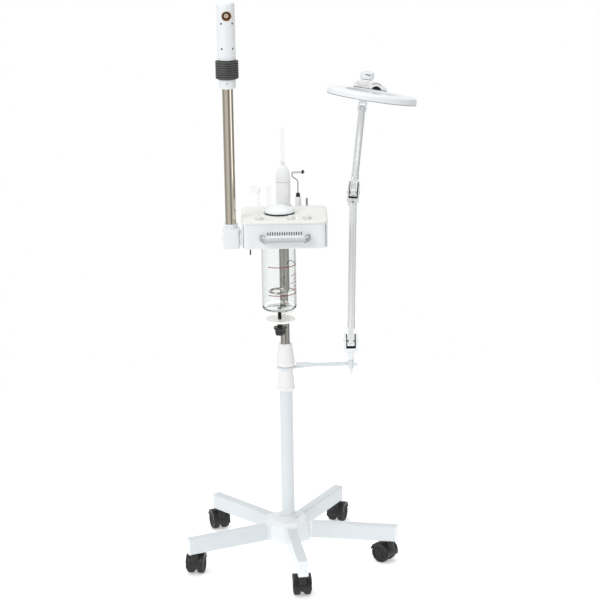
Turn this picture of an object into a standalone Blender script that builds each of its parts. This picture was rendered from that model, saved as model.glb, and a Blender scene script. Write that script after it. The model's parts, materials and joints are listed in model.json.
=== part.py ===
"""Facial steamer on a five-leg caster base, with a magnifying lamp and an accessory rack.

Metres, +Z up, the front of the machine faces -Y. The origin is on the floor, at the
middle of the plan outline, and the column stands a little to the left of it. Sizes below
are given from the column's axis, and one empty at the column's foot carries every part.
"""

import math

import bmesh
import bpy
from mathutils import Matrix, Vector

# ---------------------------------------------------------------- driving dimensions
COLUMN_X = -0.0353          # column axis in plan
COLUMN_Y = -0.0006
GAP = 0.0003                # air between pieces that touch on the real machine

# base and column
LEG_COUNT = 5
LEG_FIRST_DEG = 277.0       # the front leg; the others follow at equal angles
LEG_END_R = 0.280
LEG_WIDTH = 0.025
LEG_BOTTOM_Z = 0.060
LEG_TOP_Z = 0.100
LEG_WALL = 0.0022
HUB_APOTHEM = 0.056
HUB_BOTTOM_Z = 0.056
HUB_TOP_Z = 0.108
COLUMN_R = 0.0170
COLUMN_BORE_R = 0.0152
COLUMN_TOP_Z = 0.5600
POLE_R = 0.0113
POLE_BOTTOM_Z = 0.300
POLE_TOP_Z = 0.900
CONE_SMALL_R = 0.0178
CONE_LARGE_R = 0.0232
LOWER_CONE_Z = (0.4515, 0.5060)
RING_Z = (0.5064, 0.5135)
UPPER_CONE_Z = (0.5150, 0.5735)

# casters
CASTER_R = 0.262            # stem circle
CASTER_TRAIL = 0.018
CASTER_TRAIL_DEG = (95.0, 140.0, 70.0, 110.0, 80.0)
WHEEL_R = 0.025
WHEEL_HALF_WIDTH = 0.0222
WEB_HALF = 0.0042
HOOD_R = 0.0284
HOOD_BORE_R = 0.0260
STEM_R = 0.005
AXLE_R = 0.0035

# main box
BOX_X = 0.003
BOX_HALF_X = 0.1032
BOX_FRONT_Y = -0.1500
BOX_BACK_Y = 0.0280
BOX_BOTTOM_Z = 0.8520
BOX_TOP_Z = 0.9118
BOX_CORNER_R = 0.018
BOX_WALL = 0.0026
LID_TOP_Z = 0.9185
LID_OVERHANG = 0.0012
VENT_COUNT = 15
VENT_PITCH = 0.0057
VENT_Z = (0.8852, 0.8943)
HANDLE_HALF = 0.0610
HANDLE_Z = (0.8735, 0.8865)
HANDLE_OUT_Y = -0.1780
HANDLE_DEPTH = 0.0115

# boiler, jar and its clamp
JAR_XY = (-0.0125, -0.0600)
JAR_R = 0.0422
JAR_WALL = 0.0030
JAR_Z = (0.6800, 0.8610)
CAP_XY = (-0.0085, -0.0520)
CAP_R = 0.0378
BOILER_R = 0.0350
PLATE_R = 0.0370
PLATE_Z = (0.6490, 0.6543)
KNOB_BOTTOM_Z = 0.6116

# steam arm
ARM_XY = (-0.1258, -0.1100)
ARM_PIVOT_Z = 0.8725
TUBE_R = 0.0130
HEAD_R = 0.0215
HEAD_Z = (1.3028, 1.4388)
GRIP_Z = (1.2553, 1.3022)
OUTLET_Z = 1.4076
OUTLET_TURN_DEG = 7.5

# lamp
ROD_Z = 0.5150
SOCKET_X = 0.1640
LOWER_HINGE = Vector((0.1645, 0.0, 0.5750))
LOWER_LEAN_DEG = 1.3
ELBOW = Vector((0.1735, 0.0, 0.9550))
ELBOW_LEAN_DEG = 5.0
LAMP_TUBE_R = 0.0089
HEAD_ROLL_DEG = 9.6
HEAD_PITCH_DEG = -5.3
DISC_CENTRE = Vector((0.2222, 0.0300, 1.1890))
DISC_R = 0.1100
DISC_HALF = 0.0090
SPIGOT_U = -0.0105
SPIGOT_V = 0.1270
WRIST_DROP = 0.0430

# accessory rack behind the box
RACK_Y = (0.0295, 0.0900)
RACK_HALF_X = 0.0790
RACK_Z = (0.8750, 0.9050)
SOCKET_FLOOR_Z = 0.8830
ACCESSORY_Y = 0.0580

# ---------------------------------------------------------------- scene and materials
for old in list(bpy.data.objects):
    bpy.data.objects.remove(old, do_unlink=True)

PARTS = bpy.data.collections.new("facial_steamer")
bpy.context.scene.collection.children.link(PARTS)

FOOT = bpy.data.objects.new("column_foot", None)
FOOT.location = (COLUMN_X, COLUMN_Y, 0.0)
PARTS.objects.link(FOOT)

# name: colour, roughness, metallic
FINISHES = {
    "white_plastic": ((0.84, 0.86, 0.87), 0.35, 0.0),
    "cream_plastic": ((0.88, 0.87, 0.82), 0.35, 0.0),
    "grey_plastic": ((0.45, 0.46, 0.47), 0.45, 0.0),
    "black_plastic": ((0.03, 0.03, 0.03), 0.40, 0.0),
    "black_rubber": ((0.02, 0.02, 0.02), 0.70, 0.0),
    "white_metal": ((0.80, 0.83, 0.84), 0.30, 0.2),
    "chrome": ((0.75, 0.74, 0.70), 0.12, 1.0),
    "copper": ((0.78, 0.42, 0.20), 0.25, 1.0),
    "glass": ((0.85, 0.90, 0.90), 0.05, 0.0),
    "board_green": ((0.05, 0.25, 0.10), 0.50, 0.0),
}


def own_material(node, finish):
    """Each part has a material of its own, made from one of the finishes."""
    colour, roughness, metallic = FINISHES[finish]
    material = bpy.data.materials.new(node + "_" + finish)
    material.use_nodes = True
    shader = material.node_tree.nodes["Principled BSDF"]
    shader.inputs["Base Color"].default_value = (*colour, 1.0)
    shader.inputs["Roughness"].default_value = roughness
    shader.inputs["Metallic"].default_value = metallic
    material.diffuse_color = (*colour, 1.0)
    return material


# ---------------------------------------------------------------- modelling helpers
def link_mesh(mesh, name="piece"):
    piece = bpy.data.objects.new(name, mesh)
    PARTS.objects.link(piece)
    return piece


def apply_modifiers(piece):
    depsgraph = bpy.context.evaluated_depsgraph_get()
    mesh = bpy.data.meshes.new_from_object(piece.evaluated_get(depsgraph))
    piece.modifiers.clear()
    piece.data = mesh
    return piece


def posed(piece, pose):
    """Move the mesh itself, so that the piece's origin stays at the column's foot."""
    piece.data.transform(pose)
    return piece


def block(size, centre, bevel=0.0, segments=2, pose=None):
    bm = bmesh.new()
    bmesh.ops.create_cube(bm, size=1.0)
    bmesh.ops.scale(bm, vec=size, verts=bm.verts)
    bmesh.ops.translate(bm, vec=centre, verts=bm.verts)
    mesh = bpy.data.meshes.new("block")
    bm.to_mesh(mesh)
    bm.free()
    piece = link_mesh(mesh)
    if bevel:
        rounding = piece.modifiers.new("rounding", "BEVEL")
        rounding.width = bevel
        rounding.segments = segments
        rounding.limit_method = "NONE"
        apply_modifiers(piece)
    if pose:
        posed(piece, pose)
    return piece


def upright_prism(half_x, half_y, centre, low, high, corner, segments=4, rim=0.0):
    """A block with round vertical corners and, with rim, a rounded top edge."""
    bm = bmesh.new()
    bmesh.ops.create_cube(bm, size=1.0)
    bmesh.ops.scale(bm, vec=(2 * half_x, 2 * half_y, high - low), verts=bm.verts)
    bmesh.ops.translate(bm, vec=(centre[0], centre[1], (low + high) / 2), verts=bm.verts)
    middle = (low + high) / 2
    upright = [e for e in bm.edges if abs(e.verts[0].co.z - e.verts[1].co.z) > (high - low) / 2]
    bmesh.ops.bevel(bm, geom=upright, offset=corner, segments=segments, profile=0.5, affect="EDGES")
    if rim:
        top = [e for e in bm.edges if min(v.co.z for v in e.verts) > middle]
        bmesh.ops.bevel(bm, geom=top, offset=rim, segments=3, profile=0.5, affect="EDGES")
    mesh = bpy.data.meshes.new("prism")
    bm.to_mesh(mesh)
    bm.free()
    return link_mesh(mesh)


def turned(profile, closed=False, steps=20, pose=None):
    """Turn a profile of (radius, height) points about Z; it runs down its outer side."""
    mesh = bpy.data.meshes.new("profile")
    points = [(radius, 0.0, height) for radius, height in profile]
    edges = [(i, i + 1) for i in range(len(points) - 1)]
    if closed:
        edges.append((len(points) - 1, 0))
    mesh.from_pydata(points, edges, [])
    piece = link_mesh(mesh)
    turn = piece.modifiers.new("turn", "SCREW")
    turn.steps = steps
    turn.render_steps = steps
    turn.use_merge_vertices = True
    turn.merge_threshold = 0.00001
    apply_modifiers(piece)
    if pose:
        posed(piece, pose)
    return piece


def rod(radius, low, high, at=(0.0, 0.0), steps=16, pose=None, chamfer=0.0):
    """A solid round bar along Z, from low to high."""
    c = chamfer
    profile = [(0.0, high), (radius - c, high), (radius, high - c), (radius, low + c), (radius - c, low), (0.0, low)]
    if not c:
        profile = [(0.0, high), (radius, high), (radius, low), (0.0, low)]
    place = Matrix.Translation((at[0], at[1], 0.0))
    return turned(profile, steps=steps, pose=pose @ place if pose else place)


def sleeve(outer, inner, low, high, at=(0.0, 0.0), steps=20, pose=None):
    """A round tube along Z, from low to high."""
    profile = [(outer, high), (outer, low), (inner, low), (inner, high)]
    place = Matrix.Translation((at[0], at[1], 0.0))
    return turned(profile, closed=True, steps=steps, pose=pose @ place if pose else place)


def wire_tube(points, radius, resolution=2, closed=False):
    """A bent round bar through a list of points."""
    curve = bpy.data.curves.new("wire", "CURVE")
    curve.dimensions = "3D"
    curve.bevel_depth = radius
    curve.bevel_resolution = resolution
    curve.use_fill_caps = True
    spline = curve.splines.new("POLY")
    spline.points.add(len(points) - 1)
    for point, place in zip(spline.points, points):
        point.co = (*place, 1.0)
    spline.use_cyclic_u = closed
    guide = bpy.data.objects.new("wire", curve)
    PARTS.objects.link(guide)
    depsgraph = bpy.context.evaluated_depsgraph_get()
    mesh = bpy.data.meshes.new_from_object(guide.evaluated_get(depsgraph))
    bm = bmesh.new()
    bm.from_mesh(mesh)
    bmesh.ops.remove_doubles(bm, verts=bm.verts, dist=0.00001)
    bmesh.ops.recalc_face_normals(bm, faces=bm.faces)
    bm.to_mesh(mesh)
    bm.free()
    bpy.data.objects.remove(guide)
    return link_mesh(mesh)


def boolean(piece, tool, operation):
    change = piece.modifiers.new(operation.lower(), "BOOLEAN")
    change.operation = operation
    change.object = tool
    change.solver = "EXACT"
    apply_modifiers(piece)
    bpy.data.objects.remove(tool)
    return piece


def joined(piece, *others):
    for other in others:
        boolean(piece, other, "UNION")
    return piece


def cut(piece, *tools):
    for tool in tools:
        boolean(piece, tool, "DIFFERENCE")
    return piece


def as_part(piece, name, finish, origin=(0.0, 0.0, 0.0)):
    """Name the finished piece and put its origin where it turns, slides or stands."""
    piece.name = name
    piece.data.name = name
    piece.data.transform(Matrix.Translation(-Vector(origin)))
    piece.parent = FOOT
    piece.location = origin
    piece.data.materials.clear()
    piece.data.materials.append(own_material(name, finish))
    piece.data.shade_smooth()
    piece.data.set_sharp_from_angle(angle=math.radians(35))
    return piece


def along_x(centre=(0.0, 0.0, 0.0)):
    """Turns a piece built along Z so that it lies along X, and moves it to centre."""
    return Matrix.Translation(centre) @ Matrix.Rotation(math.radians(90), 4, "Y")


def along_y(centre=(0.0, 0.0, 0.0)):
    return Matrix.Translation(centre) @ Matrix.Rotation(math.radians(-90), 4, "X")


def arc(centre_x, centre_y, radius, first_deg, last_deg, steps):
    """Points of a circular arc, for a profile or a bent wire."""
    angles = [math.radians(first_deg + (last_deg - first_deg) * i / steps) for i in range(steps + 1)]
    return [(centre_x + radius * math.cos(a), centre_y + radius * math.sin(a)) for a in angles]


# ---------------------------------------------------------------- base and column
def leg_angle(index):
    return math.radians(LEG_FIRST_DEG + 360.0 / LEG_COUNT * index)


def make_hub():
    """Ten-sided shroud: five of its flats meet the legs, and its bore holds the column."""
    corner_r = HUB_APOTHEM / math.cos(math.pi / 10)
    shoulder_z = HUB_TOP_Z - 0.008
    profile = [(0.0, HUB_TOP_Z), (corner_r - 0.012, HUB_TOP_Z), (corner_r, shoulder_z)]
    profile += [(corner_r, HUB_BOTTOM_Z), (0.0, HUB_BOTTOM_Z)]
    facets = Matrix.Rotation(leg_angle(0) + math.pi / 10, 4, "Z")
    hub = turned(profile, steps=10, pose=facets)
    joined(hub, rod(0.0235, HUB_TOP_Z - 0.004, 0.1165, chamfer=0.0012))
    cut(hub, rod(COLUMN_R + GAP, 0.066, 0.130))
    as_part(hub, "base_hub", "white_plastic")


def make_legs():
    start = HUB_APOTHEM + GAP
    length = LEG_END_R - start
    height = LEG_TOP_Z - LEG_BOTTOM_Z
    middle = (start + LEG_END_R) / 2
    centre_z = (LEG_TOP_Z + LEG_BOTTOM_Z) / 2
    for index in range(LEG_COUNT):
        leg = block((length, LEG_WIDTH, height), (middle, 0, centre_z), bevel=0.0022)
        hollow = block((length, LEG_WIDTH - 2 * LEG_WALL, height - 2 * LEG_WALL), (middle - 0.004, 0, centre_z))
        cut(leg, hollow, rod(STEM_R + GAP, 0.050, 0.080, at=(CASTER_R, 0), steps=12))
        posed(leg, Matrix.Rotation(leg_angle(index), 4, "Z"))
        as_part(leg, "leg_%d" % (index + 1), "white_metal")


def make_column():
    column = sleeve(COLUMN_R, COLUMN_BORE_R, 0.0665, COLUMN_TOP_Z, steps=24)
    as_part(column, "column", "white_metal")

    low, high = LOWER_CONE_Z
    bore = COLUMN_R + GAP
    foot = [(CONE_SMALL_R + 0.0004, high), (CONE_LARGE_R - 0.0012, low + 0.0095), (CONE_LARGE_R, low + 0.0085)]
    foot += [(CONE_LARGE_R, low + 0.0020), (CONE_LARGE_R - 0.0020, low), (bore, low), (bore, high)]
    as_part(turned(foot, closed=True, steps=24), "column_collar", "white_plastic")

    pole = rod(POLE_R, POLE_BOTTOM_Z, POLE_TOP_Z, steps=20, chamfer=0.0010)
    as_part(pole, "inner_pole", "chrome")

    low, high = UPPER_CONE_Z
    top_r = 0.0166
    step_z = COLUMN_TOP_Z + GAP
    nut = [(top_r - 0.0012, high), (top_r, high - 0.0012), (CONE_LARGE_R - 0.0008, low + 0.0085)]
    nut += [(CONE_LARGE_R, low + 0.0075), (CONE_LARGE_R, low + 0.0012), (CONE_LARGE_R - 0.0012, low)]
    nut += [(bore, low), (bore, step_z), (POLE_R + GAP, step_z), (POLE_R + GAP, high)]
    as_part(turned(nut, closed=True, steps=24), "height_clamp", "white_plastic")


def make_casters():
    """One hood and one pair of wheels on their axle, made once and copied to each leg."""
    wheel_y = CASTER_TRAIL
    hub = along_x((0.0, wheel_y, WHEEL_R))
    half = [(0.0, WEB_HALF), (HOOD_BORE_R, WEB_HALF), (HOOD_BORE_R, WHEEL_HALF_WIDTH), (HOOD_R, WHEEL_HALF_WIDTH)]
    hood = turned(half + [(r, -w) for r, w in reversed(half)], steps=20, pose=hub)
    boss = rod(0.0095, 0.0300, LEG_BOTTOM_Z - 0.0015)
    cut(boss, rod((HOOD_R + HOOD_BORE_R) / 2, -0.0200, 0.0200, pose=hub, steps=24))
    joined(hood, boss, rod(STEM_R, 0.0520, 0.0900, steps=12, chamfer=0.0010))
    cut(hood, rod(AXLE_R + GAP, -0.0100, 0.0100, pose=hub, steps=12))
    cut(hood, block((0.08, 0.08, 0.026), (0, wheel_y, 0.0042)))
    cut(hood, block((0.08, 0.03, 0.034), (0, wheel_y - 0.0285, 0.0195)))

    reach = WHEEL_HALF_WIDTH - 0.0004
    inner = WEB_HALF + 0.0006
    half = [(0.0, reach), (WHEEL_R - 0.0030, reach), (WHEEL_R, reach - 0.0030), (WHEEL_R, inner), (AXLE_R, inner)]
    wheels = turned(half + [(r, -w) for r, w in reversed(half)], steps=20, pose=hub)

    for index in range(LEG_COUNT):
        angle = leg_angle(index)
        stem = Vector((CASTER_R * math.cos(angle), CASTER_R * math.sin(angle), 0.0))
        heading = math.radians(CASTER_TRAIL_DEG[index] - 90.0)
        pose = Matrix.Translation(stem) @ Matrix.Rotation(heading, 4, "Z")
        axle = pose @ Vector((0.0, wheel_y, WHEEL_R))
        hood_copy = link_mesh(hood.data.copy())
        posed(hood_copy, pose)
        as_part(hood_copy, "caster_hood_%d" % (index + 1), "black_plastic", origin=stem)
        wheel_copy = link_mesh(wheels.data.copy())
        posed(wheel_copy, pose)
        as_part(wheel_copy, "caster_wheels_%d" % (index + 1), "black_rubber", origin=axle)
    bpy.data.objects.remove(hood)
    bpy.data.objects.remove(wheels)


# ---------------------------------------------------------------- lamp
def frame_at(point, roll_deg=0.0, pitch_deg=0.0):
    """A frame at point, rolled to the right about Y and then pitched about its own X."""
    roll = Matrix.Rotation(math.radians(roll_deg), 4, "Y")
    pitch = Matrix.Rotation(math.radians(pitch_deg), 4, "X")
    return Matrix.Translation(point) @ roll @ pitch


def fork(pose, outer, gap, depth, below, above, pin_r, base_r):
    """Two cheeks on a base, with a pin across them; the pin is on the frame's X axis."""
    body = block((outer, depth, above + below), (0, 0, (above - below) / 2), bevel=0.0030, pose=pose)
    slot_low = -below + 0.0105
    cut(body, block((gap, depth + 0.01, above - slot_low + 0.02), (0, 0, (above + slot_low + 0.02) / 2), pose=pose))
    pin = rod(pin_r, -outer / 2 + 0.002, outer / 2 - 0.002, steps=12, pose=pose @ along_x())
    return joined(body, pin, rod(base_r, -below - 0.0060, -below + 0.0040, steps=16, pose=pose))


def tongue(pose, width, depth, reach, bore_r):
    """A flat eye round the frame's X axis, as wide as width, reaching up its Z axis."""
    radius = depth / 2
    outline = arc(0, 0, radius, 180, 360, 10) + [(radius, reach), (-radius, reach)]
    bm = bmesh.new()
    face = bm.faces.new([bm.verts.new((-width / 2, y, z)) for y, z in outline])
    grown = bmesh.ops.extrude_face_region(bm, geom=[face])
    moved = [item for item in grown["geom"] if isinstance(item, bmesh.types.BMVert)]
    bmesh.ops.translate(bm, vec=(width, 0, 0), verts=moved)
    bmesh.ops.recalc_face_normals(bm, faces=bm.faces)
    mesh = bpy.data.meshes.new("eye")
    bm.to_mesh(mesh)
    bm.free()
    eye = posed(link_mesh(mesh), pose)
    return cut(eye, rod(bore_r, -width, width, steps=12, pose=pose @ along_x()))


def make_lamp_bracket():
    low, high = RING_Z
    bracket = sleeve(0.0225, COLUMN_R + GAP, low, high, steps=24)
    joined(bracket, block((0.0440, 0.0060, 0.0065), (0.0410, 0, 0.5100)))
    joined(bracket, block((0.0400, 0.0060, 0.0136), (0.0450, 0, ROD_Z), bevel=0.0015))
    arm = rod(0.0050, 0.0600, SOCKET_X - 0.0030, steps=16, pose=along_x((0, 0, ROD_Z)))
    joined(bracket, arm, sleeve(0.0070, 0.0030, 0.5045, 0.5255, at=(SOCKET_X, 0), steps=16))
    cut(bracket, rod(0.0048, 0.4900, 0.5400, at=(SOCKET_X, 0), steps=16))
    as_part(bracket, "lamp_bracket", "white_metal")


def make_lamp_arms():
    fork_pose = Matrix.Translation(LOWER_HINGE)
    lamp_fork = fork(fork_pose, 0.0336, 0.0190, 0.0240, 0.0270, 0.0197, 0.0035, 0.0075)
    shift = SOCKET_X - LOWER_HINGE.x
    shaft = rod(0.0045, 0.4879, 0.5450, at=(SOCKET_X, 0), steps=16, chamfer=0.0008)
    joined(lamp_fork, rod(0.0068, 0.5262, 0.5450, at=(LOWER_HINGE.x + shift / 2, 0), steps=16), shaft)
    as_part(lamp_fork, "lamp_fork", "white_plastic", origin=(SOCKET_X, 0, 0.5150))

    lean = frame_at(LOWER_HINGE, roll_deg=LOWER_LEAN_DEG)
    arm = tongue(lean, 0.0120, 0.0164, 0.0400, 0.0038)
    span = (ELBOW - LOWER_HINGE).length
    joined(arm, rod(LAMP_TUBE_R, 0.0330, span - 0.0200, pose=lean, steps=16))
    elbow_pose = frame_at(ELBOW, roll_deg=ELBOW_LEAN_DEG)
    joined(arm, fork(elbow_pose, 0.0290, 0.0190, 0.0220, 0.0280, 0.0290, 0.0035, 0.0112))
    as_part(arm, "lower_arm", "white_metal", origin=LOWER_HINGE)


def facing(point, axis, towards):
    """The frame at point whose X axis is axis and whose Z axis leans towards a second point."""
    x_axis = axis.normalized()
    z_axis = (towards - point) - x_axis * (towards - point).dot(x_axis)
    z_axis.normalize()
    turn = Matrix((x_axis, z_axis.cross(x_axis), z_axis)).transposed().to_4x4()
    return Matrix.Translation(point) @ turn


def make_upper_arm():
    head = frame_at(DISC_CENTRE, roll_deg=HEAD_ROLL_DEG, pitch_deg=HEAD_PITCH_DEG)
    wrist = head @ Vector((SPIGOT_U, SPIGOT_V, -WRIST_DROP))
    elbow_pin = frame_at(ELBOW, roll_deg=ELBOW_LEAN_DEG).to_3x3() @ Vector((1, 0, 0))
    wrist_pin = head.to_3x3() @ Vector((1, 0, 0))
    span = (wrist - ELBOW).length
    run = (wrist - ELBOW) / span
    straight = Matrix.Translation(ELBOW) @ run.to_track_quat("Z", "Y").to_matrix().to_4x4()
    arm = rod(LAMP_TUBE_R, 0.0360, span - 0.0260, pose=straight, steps=18)
    joined(arm, tongue(facing(ELBOW, elbow_pin, wrist), 0.0120, 0.0160, 0.0440, 0.0040))
    joined(arm, tongue(facing(wrist, wrist_pin, ELBOW), 0.0100, 0.0150, 0.0320, 0.0040))
    as_part(arm, "upper_arm", "white_metal", origin=ELBOW)


def make_lamp_head():
    pose = frame_at(DISC_CENTRE, roll_deg=HEAD_ROLL_DEG, pitch_deg=HEAD_PITCH_DEG)
    spigot = pose @ Matrix.Translation((SPIGOT_U, SPIGOT_V, 0.0))

    wrist_pose = spigot @ Matrix.Translation((0, 0, -WRIST_DROP))
    cheeks = fork(wrist_pose @ Matrix.Rotation(math.pi, 4, "X"), 0.0260, 0.0160, 0.0180, 0.0230, 0.0100, 0.0035, 0.0070)
    joined(cheeks, rod(0.0050, -0.0200, 0.0380, pose=spigot, steps=16))
    as_part(cheeks, "wrist_fork", "white_plastic", origin=wrist_pose.translation)

    bracket = block((0.0860, 0.0170, 0.0200), (0.0010, 0.1000, 0.0196), bevel=0.0045, segments=3, pose=pose)
    lug = rod(0.0125, 0.0096, 0.0296, at=(SPIGOT_U, SPIGOT_V), pose=pose, steps=16)
    neck = block((0.0240, 0.0250, 0.0200), (SPIGOT_U, 0.1140, 0.0196), pose=pose)
    joined(bracket, lug, neck)
    cut(bracket, rod(0.0110, -0.0300, 0.0300, pose=pose @ along_y((0.0140, 0.1000, 0.0110)), steps=16))
    cut(bracket, rod(0.0053, -0.02, 0.06, at=(SPIGOT_U, SPIGOT_V), pose=pose, steps=16))
    as_part(bracket, "head_bracket", "cream_plastic", origin=spigot.translation)

    knob_low, knob_high = 0.0302, 0.0490
    knob = [(0.0, knob_high), (0.0150, knob_high), (0.0172, knob_high - 0.0022), (0.0172, knob_low + 0.0015)]
    knob += [(0.0160, knob_low), (0.0053, knob_low), (0.0053, 0.0385), (0.0, 0.0385)]
    at_spigot = pose @ Matrix.Translation((SPIGOT_U, SPIGOT_V, 0.0))
    as_part(turned(knob, steps=20, pose=at_spigot), "head_knob", "white_plastic", origin=spigot.translation)

    high, low = DISC_HALF, -DISC_HALF
    shell = [(0.0660, high), (DISC_R - 0.0050, high), (DISC_R - 0.0012, high - 0.0016), (DISC_R, high - 0.0050)]
    shell += [(DISC_R, low + 0.0030), (DISC_R - 0.0020, low), (DISC_R - 0.0060, low), (DISC_R - 0.0060, high - 0.0030)]
    shell += [(0.0690, high - 0.0030), (0.0690, low + 0.0020), (0.0660, low + 0.0020)]
    as_part(turned(shell, closed=True, steps=36, pose=pose), "lamp_housing", "white_plastic", origin=spigot.translation)

    ring_r, tube_r = 0.0870, 0.0050
    section = [(ring_r + x, y) for x, y in arc(0, 0, tube_r, 90, -225, 7)]
    ring = turned(section, closed=True, steps=28, pose=pose)
    as_part(ring, "ring_lamp", "white_plastic", origin=spigot.translation)

    lens_r = 0.0657
    dome = [(lens_r * k / 4, 0.0065 - 0.0050 * (k / 4) ** 2) for k in range(5)]
    lens = dome + [(r, -z) for r, z in reversed(dome)]
    as_part(turned(lens, steps=28, pose=pose), "lens", "glass", origin=spigot.translation)


# ---------------------------------------------------------------- steam arm
def make_steam_arm():
    x, y = ARM_XY
    axis = Matrix.Translation((x, y, 0))
    pivot = (x, y, ARM_PIVOT_Z)

    hub = block((0.0410, 0.0400, 0.0490), pivot, bevel=0.0030)
    joined(hub, rod(0.0164, 0.8800, 0.9092, at=ARM_XY, chamfer=0.0015))
    inner_x = BOX_X - BOX_HALF_X
    flange_x = inner_x - GAP - 0.0040
    shaft = [(0.0, inner_x + 0.0180), (0.0090, inner_x + 0.0180), (0.0090, inner_x - GAP), (0.0195, inner_x - GAP)]
    shaft += [(0.0195, flange_x), (0.0150, flange_x), (0.0150, x + 0.0140), (0.0, x + 0.0140)]
    joined(hub, turned(shaft, steps=24, pose=along_x((0, y, ARM_PIVOT_Z))))
    cut(hub, rod(TUBE_R + GAP, 0.8850, 0.9200, at=ARM_XY))
    as_part(hub, "pivot_block", "white_plastic", origin=pivot)

    tube = sleeve(TUBE_R, TUBE_R - 0.0012, 0.8854, 1.2980, at=ARM_XY)
    as_part(tube, "steam_tube", "chrome", origin=pivot)

    collar = [(0.0188, 1.2548), (0.0202, 1.2534), (0.0202, 1.2330), (0.0188, 1.2316)]
    collar += [(TUBE_R + GAP, 1.2316), (TUBE_R + GAP, 1.2548)]
    as_part(turned(collar, closed=True, pose=axis), "tube_collar", "white_plastic", origin=pivot)

    low, high = GRIP_Z
    ribs = 8
    pitch = (high - low) / ribs
    grip = []
    for rib in range(ribs):
        top = high - rib * pitch
        shrink = 0.0022 if rib in (0, ribs - 1) else 0.0
        grip += [(0.0260 - shrink, top), (0.0276 - shrink, top - pitch * 0.50)]
    grip += [(0.0230, low), (TUBE_R + GAP, low), (TUBE_R + GAP, high)]
    as_part(turned(grip, closed=True, pose=axis), "head_grip", "black_rubber", origin=pivot[:2] + (low,))

    low, high = HEAD_Z
    bore_r = HEAD_R - 0.0028
    head = [(0.0, high), (HEAD_R - 0.0060, high), (HEAD_R - 0.0018, high - 0.0018), (HEAD_R, high - 0.0060)]
    head += [(HEAD_R, low), (0.0100, low), (0.0100, low + 0.0040), (bore_r, low + 0.0040)]
    head += [(bore_r, high - 0.0040), (0.0, high - 0.0040)]
    shell = turned(head, pose=axis)
    out = Matrix.Rotation(math.radians(OUTLET_TURN_DEG), 4, "Z")
    outlet = Matrix.Translation((x, y, OUTLET_Z)) @ out @ Matrix.Rotation(math.radians(90), 4, "X")
    cut(shell, rod(0.0128, 0.0100, 0.0300, pose=outlet))
    as_part(shell, "steam_head", "white_plastic", origin=pivot[:2] + (low,))

    nozzle = [(0.0124, 0.0196), (0.0124, 0.0120), (0.0030, 0.0120), (0.0030, 0.0138), (0.0112, 0.0196)]
    as_part(turned(nozzle, closed=True, pose=outlet), "steam_nozzle", "copper", origin=pivot[:2] + (low,))


# ---------------------------------------------------------------- box
def make_box():
    mid_y = (BOX_FRONT_Y + BOX_BACK_Y) / 2
    half_y = (BOX_BACK_Y - BOX_FRONT_Y) / 2
    centre = (BOX_X, mid_y)
    wall = BOX_WALL
    body = upright_prism(BOX_HALF_X, half_y, centre, BOX_BOTTOM_Z, BOX_TOP_Z, BOX_CORNER_R)
    cut(body, upright_prism(BOX_HALF_X - wall, half_y - wall, centre, BOX_BOTTOM_Z + wall, BOX_TOP_Z + 0.02,
                            BOX_CORNER_R - wall))
    cut(body, rod(0.0455, 0.84, 0.87, at=JAR_XY, steps=24))
    cut(body, rod(POLE_R + GAP, 0.84, 0.87, steps=20))
    cut(body, rod(0.0093, -0.02, 0.02, pose=along_x((BOX_X - BOX_HALF_X, ARM_XY[1], ARM_PIVOT_Z)), steps=16))
    vent_low, vent_high = VENT_Z
    slot = None
    for index in range(VENT_COUNT):
        offset = (index - (VENT_COUNT - 1) / 2) * VENT_PITCH
        place = (BOX_X + offset, BOX_FRONT_Y, (vent_low + vent_high) / 2)
        cut(body, block((0.0026, 0.02, vent_high - vent_low), place))
    as_part(body, "box_body", "white_plastic")

    lid = upright_prism(BOX_HALF_X + LID_OVERHANG, half_y + LID_OVERHANG, centre, BOX_TOP_Z + GAP, LID_TOP_Z,
                        BOX_CORNER_R + LID_OVERHANG, rim=0.0040)
    cut(lid, rod(0.0245, 0.90, 0.93, at=CAP_XY, steps=20))
    for x in KNOB_X:
        cut(lid, rod(0.0028, 0.90, 0.93, at=(x, CONTROL_Y), steps=12))
    cut(lid, block((0.0090, 0.0140, 0.03), (SWITCH_X, CONTROL_Y, LID_TOP_Z)))
    as_part(lid, "box_lid", "cream_plastic")

    bar_y = HANDLE_OUT_Y + HANDLE_DEPTH / 2
    low, high = HANDLE_Z
    bar = block((2 * HANDLE_HALF, HANDLE_DEPTH, high - low), (BOX_X + 0.001, bar_y, (low + high) / 2), bevel=0.0030)
    for side in (-1, 1):
        post_x = BOX_X + 0.001 + side * (HANDLE_HALF - 0.0045)
        length = BOX_FRONT_Y - GAP - bar_y
        joined(bar, block((0.0085, length, high - low + 0.003), (post_x, bar_y + length / 2, (low + high) / 2)))
    as_part(bar, "front_handle", "chrome")


KNOB_X = (-0.0565, 0.0192, 0.0588)
SWITCH_X = -0.0361
CONTROL_Y = -0.1150


def make_controls():
    for name, x in zip(("steam_knob", "current_knob", "frequency_knob"), KNOB_X):
        base = LID_TOP_Z + GAP
        profile = [(0.0, base + 0.0075), (0.0066, base + 0.0075), (0.0080, base + 0.0062), (0.0082, base)]
        profile += [(0.0025, base), (0.0025, 0.9020), (0.0, 0.9020)]
        knob = turned(profile, steps=16, pose=Matrix.Translation((x, CONTROL_Y, 0)))
        as_part(knob, name, "cream_plastic", origin=(x, CONTROL_Y, base))
    paddle = block((0.0084, 0.0118, 0.0060), (SWITCH_X, CONTROL_Y, LID_TOP_Z + 0.0002), bevel=0.0010, segments=1)
    joined(paddle, rod(0.0052, -0.0042, 0.0042, steps=16, pose=along_x((SWITCH_X, CONTROL_Y, LID_TOP_Z - 0.0035))))
    posed(paddle, Matrix.Identity(4))
    as_part(paddle, "power_switch", "white_plastic", origin=(SWITCH_X, CONTROL_Y, LID_TOP_Z - 0.0035))


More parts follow.
